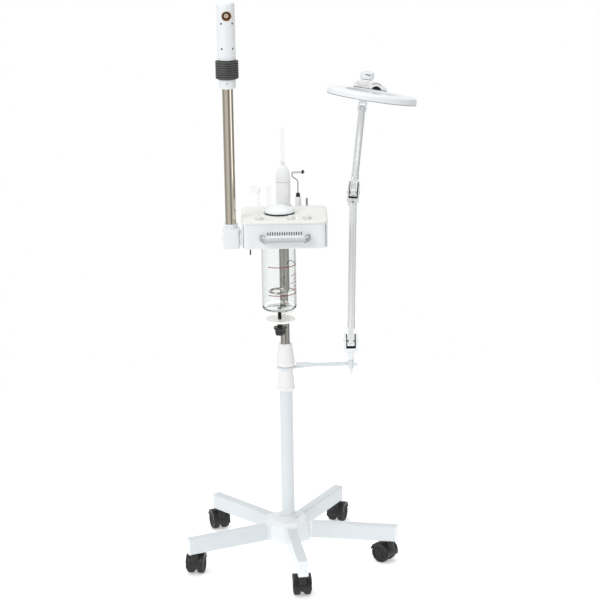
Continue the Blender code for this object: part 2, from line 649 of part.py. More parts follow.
def make_boiler():
    """Lid of the glass jar with the steam space above it, its neck and its pipe to the arm."""
    jar_axis = Matrix.Translation((*JAR_XY, 0))
    pot = turned([(0.0, 0.9050), (BOILER_R, 0.9050), (BOILER_R, 0.8680), (0.0440, 0.8680), (0.0440, 0.8616),
                  (0.0, 0.8616)], steps=24, pose=jar_axis)
    joined(pot, rod(0.0240, 0.9000, 0.9260, at=CAP_XY))
    start = Vector((*JAR_XY, 0.8860)) + Vector((-0.0200, -0.0100, 0))
    end = Vector((BOX_X - BOX_HALF_X + 0.0200, ARM_XY[1], ARM_PIVOT_Z))
    route = [start, (start.x - 0.0220, start.y - 0.0080, start.z), (end.x + 0.0100, end.y, end.z), end]
    joined(pot, wire_tube(route, 0.0045))
    cut(pot, rod(BOILER_R - 0.003, 0.8580, 0.9010, at=JAR_XY, steps=24))
    cut(pot, rod(0.0210, 0.8900, 0.9300, at=CAP_XY))
    as_part(pot, "boiler", "chrome")

    cap = [(0.0, 0.9385), (0.0120, 0.9378), (0.0230, 0.9355), (0.0320, 0.9315), (0.0366, 0.9272)]
    cap += [(CAP_R, 0.9245), (CAP_R - 0.0006, 0.9222), (0.0280, 0.9222), (0.0280, 0.9300), (0.0, 0.9300)]
    origin = (*CAP_XY, 0.9222)
    as_part(turned(cap, steps=24, pose=Matrix.Translation((*CAP_XY, 0))), "boiler_cap", "white_plastic", origin=origin)


def make_jar():
    low, high = JAR_Z
    inner = JAR_R - JAR_WALL
    glass = [(0.0, low + 0.0040), (inner - 0.0040, low + 0.0040), (inner, low + 0.0080), (inner, high)]
    glass += [(JAR_R - 0.0010, high), (JAR_R, high - 0.0010), (JAR_R, low + 0.0060), (JAR_R - 0.0018, low + 0.0018)]
    glass += [(JAR_R - 0.0060, low), (0.0, low)]
    origin = (*JAR_XY, low)
    as_part(turned(glass, steps=28, pose=Matrix.Translation((*JAR_XY, 0))), "water_jar", "glass", origin=origin)

    ring_r, ring_z, top_z = 0.0225, 0.7240, 0.8612
    points = [(ring_r, 0.0, top_z), (ring_r, 0.0, ring_z + 0.006)]
    points += [(x, y, ring_z) for x, y in arc(0, 0, ring_r, 12, 318, 22)]
    points += [(ring_r * 0.80, -ring_r * 0.52, ring_z + 0.006), (ring_r * 0.80, -ring_r * 0.52, top_z)]
    heater = wire_tube([(JAR_XY[0] + px, JAR_XY[1] + py, pz) for px, py, pz in points], 0.0032)
    as_part(heater, "heater", "chrome")

    plate_x = JAR_XY[0] + 0.002
    plate_low, plate_high = PLATE_Z
    plate = rod(PLATE_R, plate_low, plate_high, at=(plate_x, JAR_XY[1]), steps=24, chamfer=0.0012)
    joined(plate, block((0.0180, 0.0420, 0.0053), (plate_x * 0.5, -0.0300, (plate_low + plate_high) / 2)))
    joined(plate, rod(0.0190, plate_low, plate_high + 0.0060, steps=20))
    cut(plate, rod(POLE_R + GAP, 0.60, 0.70, steps=20), rod(0.0050, 0.60, 0.70, at=JAR_XY, steps=12))
    as_part(plate, "jar_plate", "white_plastic")

    pad = rod(0.0060, low - GAP - 0.0030, low - GAP, at=JAR_XY, steps=16)
    as_part(pad, "jar_pad", "black_rubber", origin=(*JAR_XY, low))
    top = low - GAP - 0.0030 - GAP
    b = KNOB_BOTTOM_Z
    screw = [(0.0, top), (0.0040, top), (0.0046, top - 0.0010), (0.0046, 0.6400), (0.0062, 0.6385), (0.0062, 0.6325)]
    screw += [(0.0155, 0.6325), (0.0162, 0.6310), (0.0160, 0.6290), (0.0126, 0.6270), (0.0116, b + 0.0040)]
    screw += [(0.0090, b + 0.0008), (0.0, b)]
    knob = turned(screw, steps=16, pose=Matrix.Translation((*JAR_XY, 0)))
    as_part(knob, "jar_screw", "black_plastic", origin=(*JAR_XY, b))


def make_underside():
    gland = [(0.0, 0.8517), (0.0060, 0.8517), (0.0060, 0.8480), (0.0050, 0.8470), (0.0046, 0.8390), (0.0020, 0.8370)]
    gland += [(0.0018, 0.8240), (0.0, 0.8240)]
    place = Matrix.Translation((-0.0805, -0.0900, 0))
    as_part(turned(gland, steps=16, pose=place), "cable_gland", "white_plastic")
    board_z = BOX_BOTTOM_Z + BOX_WALL + GAP
    board = block((0.0560, 0.0900, 0.0060), (0.0690, -0.0800, board_z + 0.0030))
    joined(board, block((0.0360, 0.0420, 0.0300), (0.0700, -0.0600, board_z + 0.0190)))
    as_part(board, "control_board", "board_green")


# ---------------------------------------------------------------- accessories
ACCESSORIES = {
    "handpiece": (0.0015, 0.0182),
    "mushroom": (-0.0593, 0.0032),
    "tube": (-0.0348, 0.0040),
    "galvanic": (0.0382, 0.0077),
    "bar": (0.0597, 0.0026),
}


def standing(name):
    x, radius = ACCESSORIES[name]
    return Matrix.Translation((x, ACCESSORY_Y, 0)), radius, (x, ACCESSORY_Y, SOCKET_FLOOR_Z)


def make_rack():
    mid_y = (RACK_Y[0] + RACK_Y[1]) / 2
    half_y = (RACK_Y[1] - RACK_Y[0]) / 2
    rack = upright_prism(RACK_HALF_X, half_y, (0, mid_y), RACK_Z[0], RACK_Z[1], 0.008, segments=3)
    joined(rack, rod(0.0208, 0.8950, 0.9135, at=(ACCESSORIES["handpiece"][0], ACCESSORY_Y), steps=24))
    for x, radius in ACCESSORIES.values():
        cut(rack, rod(radius + 0.0004, SOCKET_FLOOR_Z - GAP, 0.93, at=(x, ACCESSORY_Y), steps=16))
    as_part(rack, "accessory_rack", "cream_plastic")


def make_accessories():
    low = SOCKET_FLOOR_Z
    pose, radius, origin = standing("handpiece")
    body = [(0.0, 1.0225), (0.0046, 1.0225), (0.0052, 1.0140), (0.0105, 1.0085), (0.0150, 0.9990), (0.0174, 0.9880)]
    body += [(radius, 0.9700), (radius, 0.9450), (radius - 0.0012, 0.9100), (radius - 0.0012, low), (0.0, low)]
    as_part(turned(body, steps=20, pose=pose), "hf_handpiece", "white_plastic", origin=origin)
    glass = [(0.0, 1.1090), (0.0028, 1.1080), (0.0046, 1.1050), (0.0046, 1.0300), (0.0040, 1.0265)]
    glass += [(0.0048, 1.0250), (0.0048, 1.0229), (0.0, 1.0229)]
    as_part(turned(glass, steps=16, pose=pose), "hf_electrode", "glass", origin=origin)

    pose, radius, origin = standing("mushroom")
    stem = rod(radius, low, 0.9540, steps=12, pose=pose, chamfer=0.0008)
    disc = [(0.0, 0.0042), (0.0085, 0.0040), (0.0112, 0.0028), (0.0120, 0.0)]
    disc += [(r, -z) for r, z in reversed(disc[:-1])]
    face = along_y((origin[0] - 0.0070, ACCESSORY_Y, 0.9545))
    as_part(joined(stem, turned(disc, steps=16, pose=face)), "mushroom_electrode", "glass", origin=origin)

    pose, radius, origin = standing("tube")
    flute = [(0.0, 0.9625), (0.0036, 0.9618), (0.0052, 0.9590), (0.0048, 0.9450), (radius, 0.9250), (radius, low), (0.0, low)]
    as_part(turned(flute, steps=16, pose=pose), "tube_electrode", "glass", origin=origin)

    pose, radius, origin = standing("galvanic")
    x = origin[0]
    grip = [(0.0, 0.9440), (0.0052, 0.9440), (0.0055, 0.9355), (radius, 0.9340), (radius, low), (0.0, low)]
    handle = turned(grip, steps=16, pose=pose)
    roller_z, shaft_x = 0.9968, x - 0.0135
    route = [(x, 0.940), (x, 0.972), (x - 0.002, 0.977), (x - 0.0115, 0.984), (shaft_x, 0.988)]
    route += [(shaft_x, 0.9945), (shaft_x + 0.0023, roller_z), (shaft_x + 0.0310, roller_z)]
    joined(handle, wire_tube([(px, ACCESSORY_Y, pz) for px, pz in route], 0.0013))
    as_part(handle, "galvanic_handle", "white_plastic", origin=origin)
    roller = sleeve(0.0045, 0.0017, shaft_x + 0.0045, shaft_x + 0.0290, steps=16,
                    pose=along_x((0, ACCESSORY_Y, roller_z)))
    as_part(roller, "galvanic_roller", "chrome", origin=(shaft_x + 0.0168, ACCESSORY_Y, roller_z))

    pose, radius, origin = standing("bar")
    as_part(rod(radius, low, 0.9308, steps=12, pose=pose, chamfer=0.0006), "steel_rod", "chrome", origin=origin)


make_hub()
make_legs()
make_column()
make_casters()
make_lamp_bracket()
make_lamp_arms()
make_upper_arm()
make_lamp_head()
make_steam_arm()
make_box()
make_controls()
make_boiler()
make_jar()
make_underside()
make_rack()
make_accessories()
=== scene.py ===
import json
import math

import bmesh
import bpy
from mathutils import Matrix, Vector


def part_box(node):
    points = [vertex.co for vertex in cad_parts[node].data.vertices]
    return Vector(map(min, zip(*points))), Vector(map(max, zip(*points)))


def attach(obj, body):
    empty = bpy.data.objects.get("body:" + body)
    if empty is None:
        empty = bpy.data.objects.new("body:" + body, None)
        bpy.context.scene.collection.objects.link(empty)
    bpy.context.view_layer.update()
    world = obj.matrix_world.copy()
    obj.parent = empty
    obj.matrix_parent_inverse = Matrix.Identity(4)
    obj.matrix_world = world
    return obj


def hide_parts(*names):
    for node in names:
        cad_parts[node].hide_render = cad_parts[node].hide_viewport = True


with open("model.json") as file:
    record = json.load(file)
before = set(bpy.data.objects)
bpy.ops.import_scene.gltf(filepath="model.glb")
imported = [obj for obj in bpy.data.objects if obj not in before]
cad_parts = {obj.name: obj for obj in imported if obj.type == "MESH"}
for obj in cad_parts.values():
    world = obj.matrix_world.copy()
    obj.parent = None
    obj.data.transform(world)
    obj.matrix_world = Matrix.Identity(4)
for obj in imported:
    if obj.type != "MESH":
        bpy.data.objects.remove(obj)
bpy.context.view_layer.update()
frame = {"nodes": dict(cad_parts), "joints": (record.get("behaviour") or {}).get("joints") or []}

# ---------------------------------------------------------------- where things are
# Shapes are drawn in millimetres from the column's foot, and placed() turns them into the frame's metres.
# The camera and the lights are in metres.
MM = 0.001
low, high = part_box("column")
FOOT = Vector(((low.x + high.x) / 2, (low.y + high.y) / 2, 0.0))
JOINTS = {joint["name"]: joint for joint in frame["joints"]}


def joint_point(name):
    """A joint's point, measured from the column's foot."""
    return (Vector(JOINTS[name]["pos_m"]) - FOOT) / MM


def joint_axis(name):
    return Vector(JOINTS[name]["axis"]).normalized()


def node_box(node):
    """A CAD node's lowest and highest corners, measured from the column's foot."""
    lowest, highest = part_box(node)
    return (lowest - FOOT) / MM, (highest - FOOT) / MM


def axis_of(node):
    """Centre in plan, lowest and highest level and radius of an upright round node."""
    lowest, highest = node_box(node)
    centre = (lowest + highest) / 2
    return centre.x, centre.y, lowest.z, highest.z, (highest.x - lowest.x) / 2


def levels_of(node):
    """Lowest and highest level of a node and half its width, which is a round node's radius."""
    return axis_of(node)[2:]


def plan_of(node):
    """Centre and half size in plan of a CAD node."""
    lowest, highest = node_box(node)
    centre = ((lowest.x + highest.x) / 2, (lowest.y + highest.y) / 2)
    return centre, ((highest.x - lowest.x) / 2, (highest.y - lowest.y) / 2)


def frame_from(point, x_axis, z_hint):
    """A frame at point with the given X axis, its Z axis as near to z_hint as that allows."""
    x_axis = x_axis.normalized()
    z_axis = (z_hint - x_axis * z_hint.dot(x_axis)).normalized()
    turn = Matrix((x_axis, z_axis.cross(x_axis), z_axis)).transposed().to_4x4()
    return Matrix.Translation(point) @ turn


def pointing(point, direction):
    """A frame at point whose Z axis points along direction."""
    turn = Vector(direction).to_track_quat("Z", "Y").to_matrix().to_4x4()
    return Matrix.Translation(point) @ turn


def shift(x, y, z=0):
    return Matrix.Translation((x, y, z))


# An outline drawn in XY stands in YZ after this turn, and its thickness runs along X.
SIDEWAYS = Matrix(((0, 0, 1, 0), (1, 0, 0, 0), (0, 1, 0, 0), (0, 0, 0, 1)))
# An outline drawn in XY stands in XZ after this turn, and its thickness runs along -Y.
UPRIGHT = Matrix(((1, 0, 0, 0), (0, 0, -1, 0), (0, 1, 0, 0), (0, 0, 0, 1)))


# ---------------------------------------------------------------- mesh helpers
def soften(points, radius, steps=3):
    """Rounds the inner corners of a profile."""
    points = [Vector(point) for point in points]
    result = [points[0]]
    for before, corner, after in zip(points, points[1:], points[2:]):
        inward, outward = before - corner, after - corner
        reach = min(radius, inward.length * 0.45, outward.length * 0.45)
        if reach < 0.001 or inward.angle(outward) > math.radians(170):
            result.append(corner)
            continue
        start = corner + inward.normalized() * reach
        end = corner + outward.normalized() * reach
        for step in range(steps + 1):
            t = step / steps
            result.append(start * (1 - t) ** 2 + corner * 2 * t * (1 - t) + end * t ** 2)
    result.append(points[-1])
    return [tuple(point) for point in result]


def arc(radius, first, last, steps, x=0.0, y=0.0):
    angles = [math.radians(first + (last - first) * i / steps) for i in range(steps + 1)]
    return [(x + radius * math.cos(a), y + radius * math.sin(a)) for a in angles]


def skin(bm, rings, material, closed=False):
    """Joins rings of vertices; a ring of one vertex is a pole."""
    pairs = list(zip(rings, rings[1:]))
    if closed:
        pairs.append((rings[-1], rings[0]))
    for upper, lower in pairs:
        count = max(len(upper), len(lower))
        for i in range(count):
            j = (i + 1) % count
            corners = [upper[i % len(upper)], upper[j % len(upper)]]
            corners += [lower[j % len(lower)], lower[i % len(lower)]]
            unique = []
            for corner in corners:
                if corner not in unique:
                    unique.append(corner)
            if len(unique) > 2:
                face = bm.faces.new(unique)
                face.material_index = material


def closed_skin(bm, rings, material):
    """Joins rings of vertices and closes both ends."""
    skin(bm, rings, material)
    for ring in (rings[0], rings[-1]):
        bm.faces.new(ring).material_index = material


def turned(bm, profile, pose=Matrix(), steps=64, closed=False, material=0, lobes=0, depth=0):
    """Turns a profile of (radius, height) about Z; lobes make a scalloped edge."""
    rings = []
    for radius, height in profile:
        if radius < 0.0001:
            rings.append([bm.verts.new(pose @ Vector((0, 0, height)))])
            continue
        ring = []
        for i in range(steps):
            a = 2 * math.pi * i / steps
            r = radius * (1 + depth * math.cos(lobes * a)) if lobes else radius
            ring.append(bm.verts.new(pose @ Vector((r * math.cos(a), r * math.sin(a), height))))
        rings.append(ring)
    skin(bm, rings, material, closed)


def sleeve(bm, inner, outer, low_z, high_z, edge=0, pose=Matrix(), steps=64, **more):
    """A round tube or ring with the same wall all along."""
    profile = [(outer, high_z), (outer, low_z), (inner, low_z), (inner, high_z)]
    turned(bm, soften(profile, edge) if edge else profile, pose, steps, closed=True, **more)


def peg(bm, radius, low_z, high_z, edge=0, pose=Matrix(), steps=64, material=0):
    """A solid round bar."""
    profile = [(0, high_z), (radius, high_z), (radius, low_z), (0, low_z)]
    turned(bm, soften(profile, edge) if edge else profile, pose, steps, material=material)


def lofted(bm, centre, half, corner, sections, pose=Matrix(), material=0, turns=8):
    """Rounded rectangles stacked at (inset, height) sections, closed at both ends."""
    rings = []
    for inset, height in sections:
        reach_x, reach_y = half[0] - inset, half[1] - inset
        r = max(corner - inset, 0.2)
        ring = []
        for sign_x, sign_y, first in ((1, 1, 0), (-1, 1, 90), (-1, -1, 180), (1, -1, 270)):
            middle_x = centre[0] + sign_x * (reach_x - r)
            middle_y = centre[1] + sign_y * (reach_y - r)
            for x, y in arc(r, first, first + 90, turns, middle_x, middle_y):
                ring.append(bm.verts.new(pose @ Vector((x, y, height))))
        rings.append(ring)
    closed_skin(bm, rings, material)


def slab(bm, size, centre, edge=0, pose=Matrix(), material=0, segments=3):
    """A rectangular block with rounded edges."""
    start = len(bm.faces)
    made = bmesh.ops.create_cube(bm, size=1.0)
    verts = made["verts"]
    bmesh.ops.scale(bm, vec=size, verts=verts)
    bmesh.ops.translate(bm, vec=centre, verts=verts)
    bmesh.ops.transform(bm, matrix=pose, verts=verts)
    if edge:
        edges = list({e for v in verts for e in v.link_edges})
        bmesh.ops.bevel(bm, geom=edges, offset=edge, segments=segments, profile=0.5, affect="EDGES")
    bm.faces.ensure_lookup_table()
    for face in bm.faces[start:]:
        face.material_index = material


def extruded(bm, outline, low_z, high_z, edge=0, pose=Matrix(), material=0):
    """A flat outline in XY drawn up Z, with its rims rounded by edge."""
    levels = [(edge, low_z), (edge * 0.3, low_z + edge * 0.3), (0, low_z + edge), (0, high_z - edge),
              (edge * 0.3, high_z - edge * 0.3), (edge, high_z)]
    if not edge:
        levels = [(0, low_z), (0, high_z)]
    points = [Vector(point) for point in outline]
    count = len(points)
    normals = []
    for i in range(count):
        run = points[(i + 1) % count] - points[i - 1]
        normals.append(Vector((run.y, -run.x)).normalized())
    turn = sum(a.x * b.y - a.y * b.x for a, b in zip(points, points[1:] + points[:1]))
    sign = 1 if turn > 0 else -1
    rings = []
    for inset, height in levels:
        inner = [point - normal * inset * sign for point, normal in zip(points, normals)]
        ring = [bm.verts.new(pose @ Vector((*point, height))) for point in inner]
        rings.append(ring)
    closed_skin(bm, rings, material)


def tube(bm, points, radius, sides=16, pose=Matrix(), material=0):
    """A round bar through a list of points; radius is one number or one a point."""
    points = [Vector(point) for point in points]
    radii = radius if isinstance(radius, (list, tuple)) else [radius] * len(points)
    side = None
    rings = []
    for i, point in enumerate(points):
        run = (points[min(i + 1, len(points) - 1)] - points[max(i - 1, 0)]).normalized()
        if side is None:
            side = run.orthogonal().normalized()
        side = (side - run * side.dot(run)).normalized()
        other = run.cross(side)
        ring = []
        for k in range(sides):
            a = 2 * math.pi * k / sides
            offset = (side * math.cos(a) + other * math.sin(a)) * radii[i]
            ring.append(bm.verts.new(pose @ (point + offset)))
        rings.append(ring)
    closed_skin(bm, rings, material)


def curve_through(points, steps=6):
    """A smooth Catmull-Rom line through the points."""
    points = [Vector(point) for point in points]
    padded = [points[0] * 2 - points[1]] + points + [points[-1] * 2 - points[-2]]
    result = []
    for i in range(1, len(padded) - 2):
        a, b, c, d = padded[i - 1:i + 3]
        for step in range(steps):
            t = step / steps
            result.append(0.5 * ((2 * b) + (c - a) * t + (2 * a - 5 * b + 4 * c - d) * t ** 2
                                 + (3 * b - 3 * c + d - a) * t ** 3))
    result.append(points[-1])
    return result


def screw_head(bm, point, direction, radius, head=0, recess=1):
    """A pan head with a cross laid on it in the recess material, which is painted shade in the recess where
    that material is dark.
    """
    pose = pointing(point, direction)
    dome = [(0, 0.55), (0.6, 0.5), (0.95, 0.2), (1.0, 0), (0, 0)]
    turned(bm, [(radius * r, radius * z) for r, z in dome], pose, steps=20, material=head)
    for size in ((radius * 1.1, radius * 0.26), (radius * 0.26, radius * 1.1)):
        slab(bm, (*size, radius * 0.1), (0, 0, radius * 0.53), pose=pose, material=recess)


def even_shading(made):
    """Lets the large faces decide the normals, so that long walls look straight."""
    shading = made.modifiers.new("shading", "WEIGHTED_NORMAL")
    shading.keep_sharp = True


def placed(name, bm):
    """Makes an object in the frame's metres from a shape drawn in millimetres."""
    bmesh.ops.recalc_face_normals(bm, faces=bm.faces)
    bmesh.ops.transform(bm, matrix=Matrix.Translation(FOOT) @ Matrix.Scale(MM, 4), verts=bm.verts)
    mesh = bpy.data.meshes.new(name)
    bm.to_mesh(mesh)
    bm.free()
    made = bpy.data.objects.new(name, mesh)
    bpy.context.scene.collection.objects.link(made)
    return made


def piece(name, bm, body, slot, materials, *nodes, angle=35):
    """Makes the object, puts it on its body and hides the CAD nodes named, whose place it takes."""
    made = placed(name, bm)
    made.data.shade_smooth()
    made.data.set_sharp_from_angle(angle=math.radians(angle))
    for material in materials:
        made.data.materials.append(material)
    even_shading(made)
    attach(made, body)
    if nodes:
        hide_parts(*nodes)
    return made


def pierce(made, cutter_bm):
    """Cuts the closed shapes in cutter_bm out of a piece."""
    cutter = placed("cutter", cutter_bm)
    made.modifiers.clear()
    change = made.modifiers.new("cut", "BOOLEAN")
    change.operation = "DIFFERENCE"
    change.solver = "EXACT"
    change.object = cutter
    bpy.context.view_layer.update()
    depsgraph = bpy.context.evaluated_depsgraph_get()
    result = bpy.data.meshes.new_from_object(made.evaluated_get(depsgraph))
    made.modifiers.clear()
    made.data = result
    bpy.data.objects.remove(cutter)
    result.set_sharp_from_angle(angle=math.radians(35))
    even_shading(made)


# ---------------------------------------------------------------- materials
def surface(name, colour, roughness, metallic=0.0, mottle=0.02, patch=9.0, grain=900.0, relief=0.05,
            stretch=(1.0, 1.0, 1.0), uneven=0.05, coat=0.0, glow=0.0, shine=0.5):
    """Paint, moulded plastic, rubber or metal, with slight colour, gloss and surface variation."""
    material = bpy.data.materials.new(name)
    material.use_nodes = True
    nodes, links = material.node_tree.nodes, material.node_tree.links
    shader = nodes["Principled BSDF"]
    shader.inputs["Metallic"].default_value = metallic
    shader.inputs["Specular IOR Level"].default_value = shine
    shader.inputs["Coat Weight"].default_value = coat
    shader.inputs["Coat Roughness"].default_value = 0.12
    if glow:
        shader.inputs["Emission Color"].default_value = (*colour, 1.0)
        shader.inputs["Emission Strength"].default_value = glow

    where = nodes.new("ShaderNodeTexCoord")
    mapping = nodes.new("ShaderNodeMapping")
    mapping.inputs["Scale"].default_value = stretch
    links.new(where.outputs["Object"], mapping.inputs["Vector"])

    def noise(scale, detail):
        texture = nodes.new("ShaderNodeTexNoise")
        texture.inputs["Scale"].default_value = scale
        texture.inputs["Detail"].default_value = detail
        links.new(mapping.outputs["Vector"], texture.inputs["Vector"])
        return texture

    patches, grains = noise(patch, 4.0), noise(grain, 2.0)
    ramp = nodes.new("ShaderNodeValToRGB")
    ramp.color_ramp.elements[0].position = 0.3
    ramp.color_ramp.elements[1].position = 0.7
    ramp.color_ramp.elements[0].color = (*[c * (1 - mottle) for c in colour], 1.0)
    ramp.color_ramp.elements[1].color = (*[min(1.0, c * (1 + mottle)) for c in colour], 1.0)
    links.new(patches.outputs["Fac"], ramp.inputs["Fac"])
    links.new(ramp.outputs["Color"], shader.inputs["Base Color"])

    gloss = nodes.new("ShaderNodeMapRange")
    gloss.inputs["To Min"].default_value = max(0.02, roughness - uneven)
    gloss.inputs["To Max"].default_value = min(1.0, roughness + uneven)
    links.new(patches.outputs["Fac"], gloss.inputs["Value"])
    links.new(gloss.outputs["Result"], shader.inputs["Roughness"])

    bump = nodes.new("ShaderNodeBump")
    bump.inputs["Strength"].default_value = relief
    bump.inputs["Distance"].default_value = 0.0002
    links.new(grains.outputs["Fac"], bump.inputs["Height"])
    links.new(bump.outputs["Normal"], shader.inputs["Normal"])
    return material


def clear(name, colour, roughness, index, relief=0.02):
    """Glass, with the slight waviness of blown or pressed glass."""
    material = bpy.data.materials.new(name)
    material.use_nodes = True
    nodes, links = material.node_tree.nodes, material.node_tree.links
    shader = nodes["Principled BSDF"]
    shader.inputs["Base Color"].default_value = (*colour, 1.0)
    shader.inputs["Roughness"].default_value = roughness
    shader.inputs["IOR"].default_value = index
    shader.inputs["Transmission Weight"].default_value = 1.0
    where = nodes.new("ShaderNodeTexCoord")
    texture = nodes.new("ShaderNodeTexNoise")
    texture.inputs["Scale"].default_value = 60.0
    links.new(where.outputs["Object"], texture.inputs["Vector"])
    bump = nodes.new("ShaderNodeBump")
    bump.inputs["Strength"].default_value = relief
    bump.inputs["Distance"].default_value = 0.001
    links.new(texture.outputs["Fac"], bump.inputs["Height"])
    links.new(bump.outputs["Normal"], shader.inputs["Normal"])
    return material


WHITE = surface("white_moulding", (0.845, 0.875, 0.895), 0.34, grain=1400.0)
WARM_WHITE = surface("warm_white_moulding", (0.87, 0.86, 0.865), 0.36, grain=1400.0)
CREAM = surface("cream_moulding", (0.83, 0.83, 0.8), 0.42, grain=1100.0, relief=0.1)
PALE = surface("pale_control_moulding", (0.8, 0.81, 0.8), 0.3)
# The milky plastic glows a little. On the support plate under the box this glow is painted light, standing
# for light shining through the plate.
MILKY_GLOW = surface("glowing_milky_moulding", (0.86, 0.87, 0.83), 0.28, coat=0.3, glow=0.26)
HANDSET = surface("handset_moulding", (0.95, 0.955, 0.965), 0.34, mottle=0.02)
GREY = surface("grey_moulding", (0.5, 0.52, 0.52), 0.45)
DULL = surface("dull_grey_moulding", (0.36, 0.38, 0.39), 0.5)
# Nearly black, for the painted shade behind the vents.
DIM = surface("vent_shade", (0.015, 0.015, 0.018), 0.8, shine=0.1)
# Nearly black, for painted shade in gaps, holes and recesses.
SHADOW = surface("dark_recess", (0.015, 0.015, 0.015), 0.8, shine=0.1)
BLACK = surface("black_moulding", (0.016, 0.016, 0.016), 0.4, mottle=0.25, patch=40.0, relief=0.2,
                shine=0.36)
TREAD = surface("black_tread", (0.018, 0.018, 0.018), 0.5, mottle=0.25, patch=60.0, relief=0.3,
                shine=0.3)
RUBBER = surface("grip_rubber", (0.095, 0.095, 0.092), 0.42, mottle=0.2, patch=50.0, relief=0.3,
                 shine=0.25)
PAINTED = surface("powder_coat", (0.71, 0.755, 0.775), 0.3, grain=2600.0, relief=0.12, coat=0.2)
ARM_PAINT = surface("arm_paint", (0.81, 0.83, 0.83), 0.22, metallic=0.34, grain=2600.0, relief=0.02)
BRIGHT_CHROME = surface("bright_chrome", (0.8, 0.81, 0.81), 0.12, metallic=1.0, relief=0.02, uneven=0.03)
STEEL = surface("polished_steel", (0.64, 0.585, 0.49), 0.07, metallic=1.0, mottle=0.04, grain=500.0,
                stretch=(1, 1, 0.02), relief=0.006, uneven=0.02)
DARK_STEEL = surface("dark_polished_steel", (0.47, 0.455, 0.41), 0.06, metallic=1.0, mottle=0.06, grain=500.0,
                     stretch=(1, 1, 0.02), relief=0.006, uneven=0.02)
BLACK_CHROME = surface("dark_chrome", (0.3, 0.3, 0.31), 0.12, metallic=1.0, mottle=0.1, uneven=0.04)
SCREW = surface("dark_screw", (0.03, 0.03, 0.03), 0.45, metallic=0.3)
COPPER = surface("copper", (0.3, 0.19, 0.12), 0.24, metallic=1.0, mottle=0.25, patch=120.0)
# Pale brass, made paler still as a painted highlight on the nozzle.
GOLD = surface("nozzle_tip", (0.96, 0.84, 0.68), 0.22, metallic=0.35, mottle=0.05)
RED = surface("red_print", (0.26, 0.004, 0.015), 0.45, mottle=0.05)
MARK = surface("grey_print", (0.22, 0.23, 0.22), 0.5)
LAMP_TUBE = surface("lamp_tube", (0.9, 0.9, 0.87), 0.25, coat=0.4)
BOARD = surface("circuit_board", (0.03, 0.18, 0.07), 0.4, mottle=0.3, patch=180.0)
JAR_GLASS = clear("jar_glass", (0.965, 0.985, 0.98), 0.0, 1.45)
LENS_GLASS = clear("lens_glass", (0.97, 0.99, 0.98), 0.0, 1.5, relief=0.0)
ELECTRODE = clear("electrode_glass", (0.95, 0.96, 0.96), 0.12, 1.3)


def repaint(material, *nodes):
    """Gives a material to CAD nodes that stay in view."""
    for node in nodes:
        for slot in frame["nodes"][node].material_slots:
            slot.material = material


def refine(node, edge, segments=2):
    """Rounds the edges of a CAD node that stays in view."""
    solid = frame["nodes"][node]
    weld = solid.modifiers.new("weld", "WELD")
    weld.merge_threshold = 0.00001
    rounding = solid.modifiers.new("edges", "BEVEL")
    rounding.width = edge * MM
    rounding.segments = segments
    rounding.limit_method = "ANGLE"
    rounding.angle_limit = math.radians(40)


# ---------------------------------------------------------------- base and column
LEG_REACH, LEG_LEVEL = 280, 80
COLUMN_BORE, POLE_BORE = 17.3, 11.6


def make_base():
    for index in range(1, 6):
        repaint(PAINTED, "leg_%d" % index)
        refine("leg_%d" % index, 0.8)
        stem = joint_point("caster_%d_swivel" % index)
        out = Vector((stem.x, stem.y, 0)).normalized()
        end = out * LEG_REACH + Vector((0, 0, LEG_LEVEL))
        pose = Matrix.Translation(end) @ out.to_track_quat("X", "Z").to_matrix().to_4x4()
        bm = bmesh.new()
        slab(bm, (4, 25.6, 40.6), (-1.2, 0, 0), edge=1.6, pose=pose)
        slab(bm, (0.6, 20, 34.6), (0.9, 0, 0), edge=0.3, pose=pose)
        piece("leg_cap_%d" % index, bm, "base", "white_plastic", [WHITE])
        bm = bmesh.new()
        slab(bm, (16, 26.2, 41.2), (-223.5, 0, 0), edge=0.8, pose=pose)
        piece("leg_root_%d" % index, bm, "base", "white_plastic", [WHITE])
    repaint(WHITE, "base_hub")
    refine("base_hub", 1.4, 3)

    low_z, high_z, radius = levels_of("column")
    bm = bmesh.new()
    sleeve(bm, radius - 1.8, radius, low_z, high_z, 0.4, steps=72)
    piece("column_tube", bm, "base", "white_metal", [PAINTED], "column")


def make_cones():
    """The fixed cone at the column's top and the turning one that holds the pole."""
    low_z, high_z, radius = levels_of("column_collar")
    bm = bmesh.new()
    profile = [(18.2, high_z), (radius - 1.2, low_z + 10), (radius, low_z + 9)]
    profile += [(radius, low_z + 1.8), (radius - 1.6, low_z), (COLUMN_BORE, low_z), (COLUMN_BORE, high_z)]
    turned(bm, soften(profile, 1), closed=True, steps=72)
    sleeve(bm, 17.2, 23.6, 117.2, 118, steps=72)
    screw_head(bm, (0, -radius + 0.2, low_z + 5.5), (0, -1, 0), 1.8, 0, 1)
    piece("lower_cone", bm, "base", "white_plastic", [WARM_WHITE, SHADOW], "column_collar")

    low_z, high_z, radius = levels_of("height_clamp")
    step_z = 560.3
    bm = bmesh.new()
    profile = [(15, high_z), (16.6, high_z - 1), (radius - 0.6, low_z + 10.5)]
    profile += [(radius, low_z + 9.5), (radius, low_z + 1), (radius - 1, low_z)]
    profile += [(COLUMN_BORE, low_z), (COLUMN_BORE, step_z), (POLE_BORE, step_z), (POLE_BORE, high_z - 0.4)]
    profile.append((15, high_z))
    turned(bm, soften(profile, 1), closed=True, steps=72)
    for k in range(12):
        a = 2 * math.pi * k / 12
        pose = Matrix.Rotation(a, 4, "Z") @ shift(radius - 0.2, 0, low_z + 5)
        slab(bm, (0.8, 1.6, 6), (0, 0, 0), edge=0.3, pose=pose)
    piece("upper_cone", bm, "height_clamp", "white_plastic", [WARM_WHITE], "height_clamp")


def caster_frame(index):
    stem = joint_point("caster_%d_swivel" % index)
    axis = joint_axis("wheels_%d_spin" % index)
    return frame_from(Vector((stem.x, stem.y, 0)), axis, Vector((0, 0, 1)))


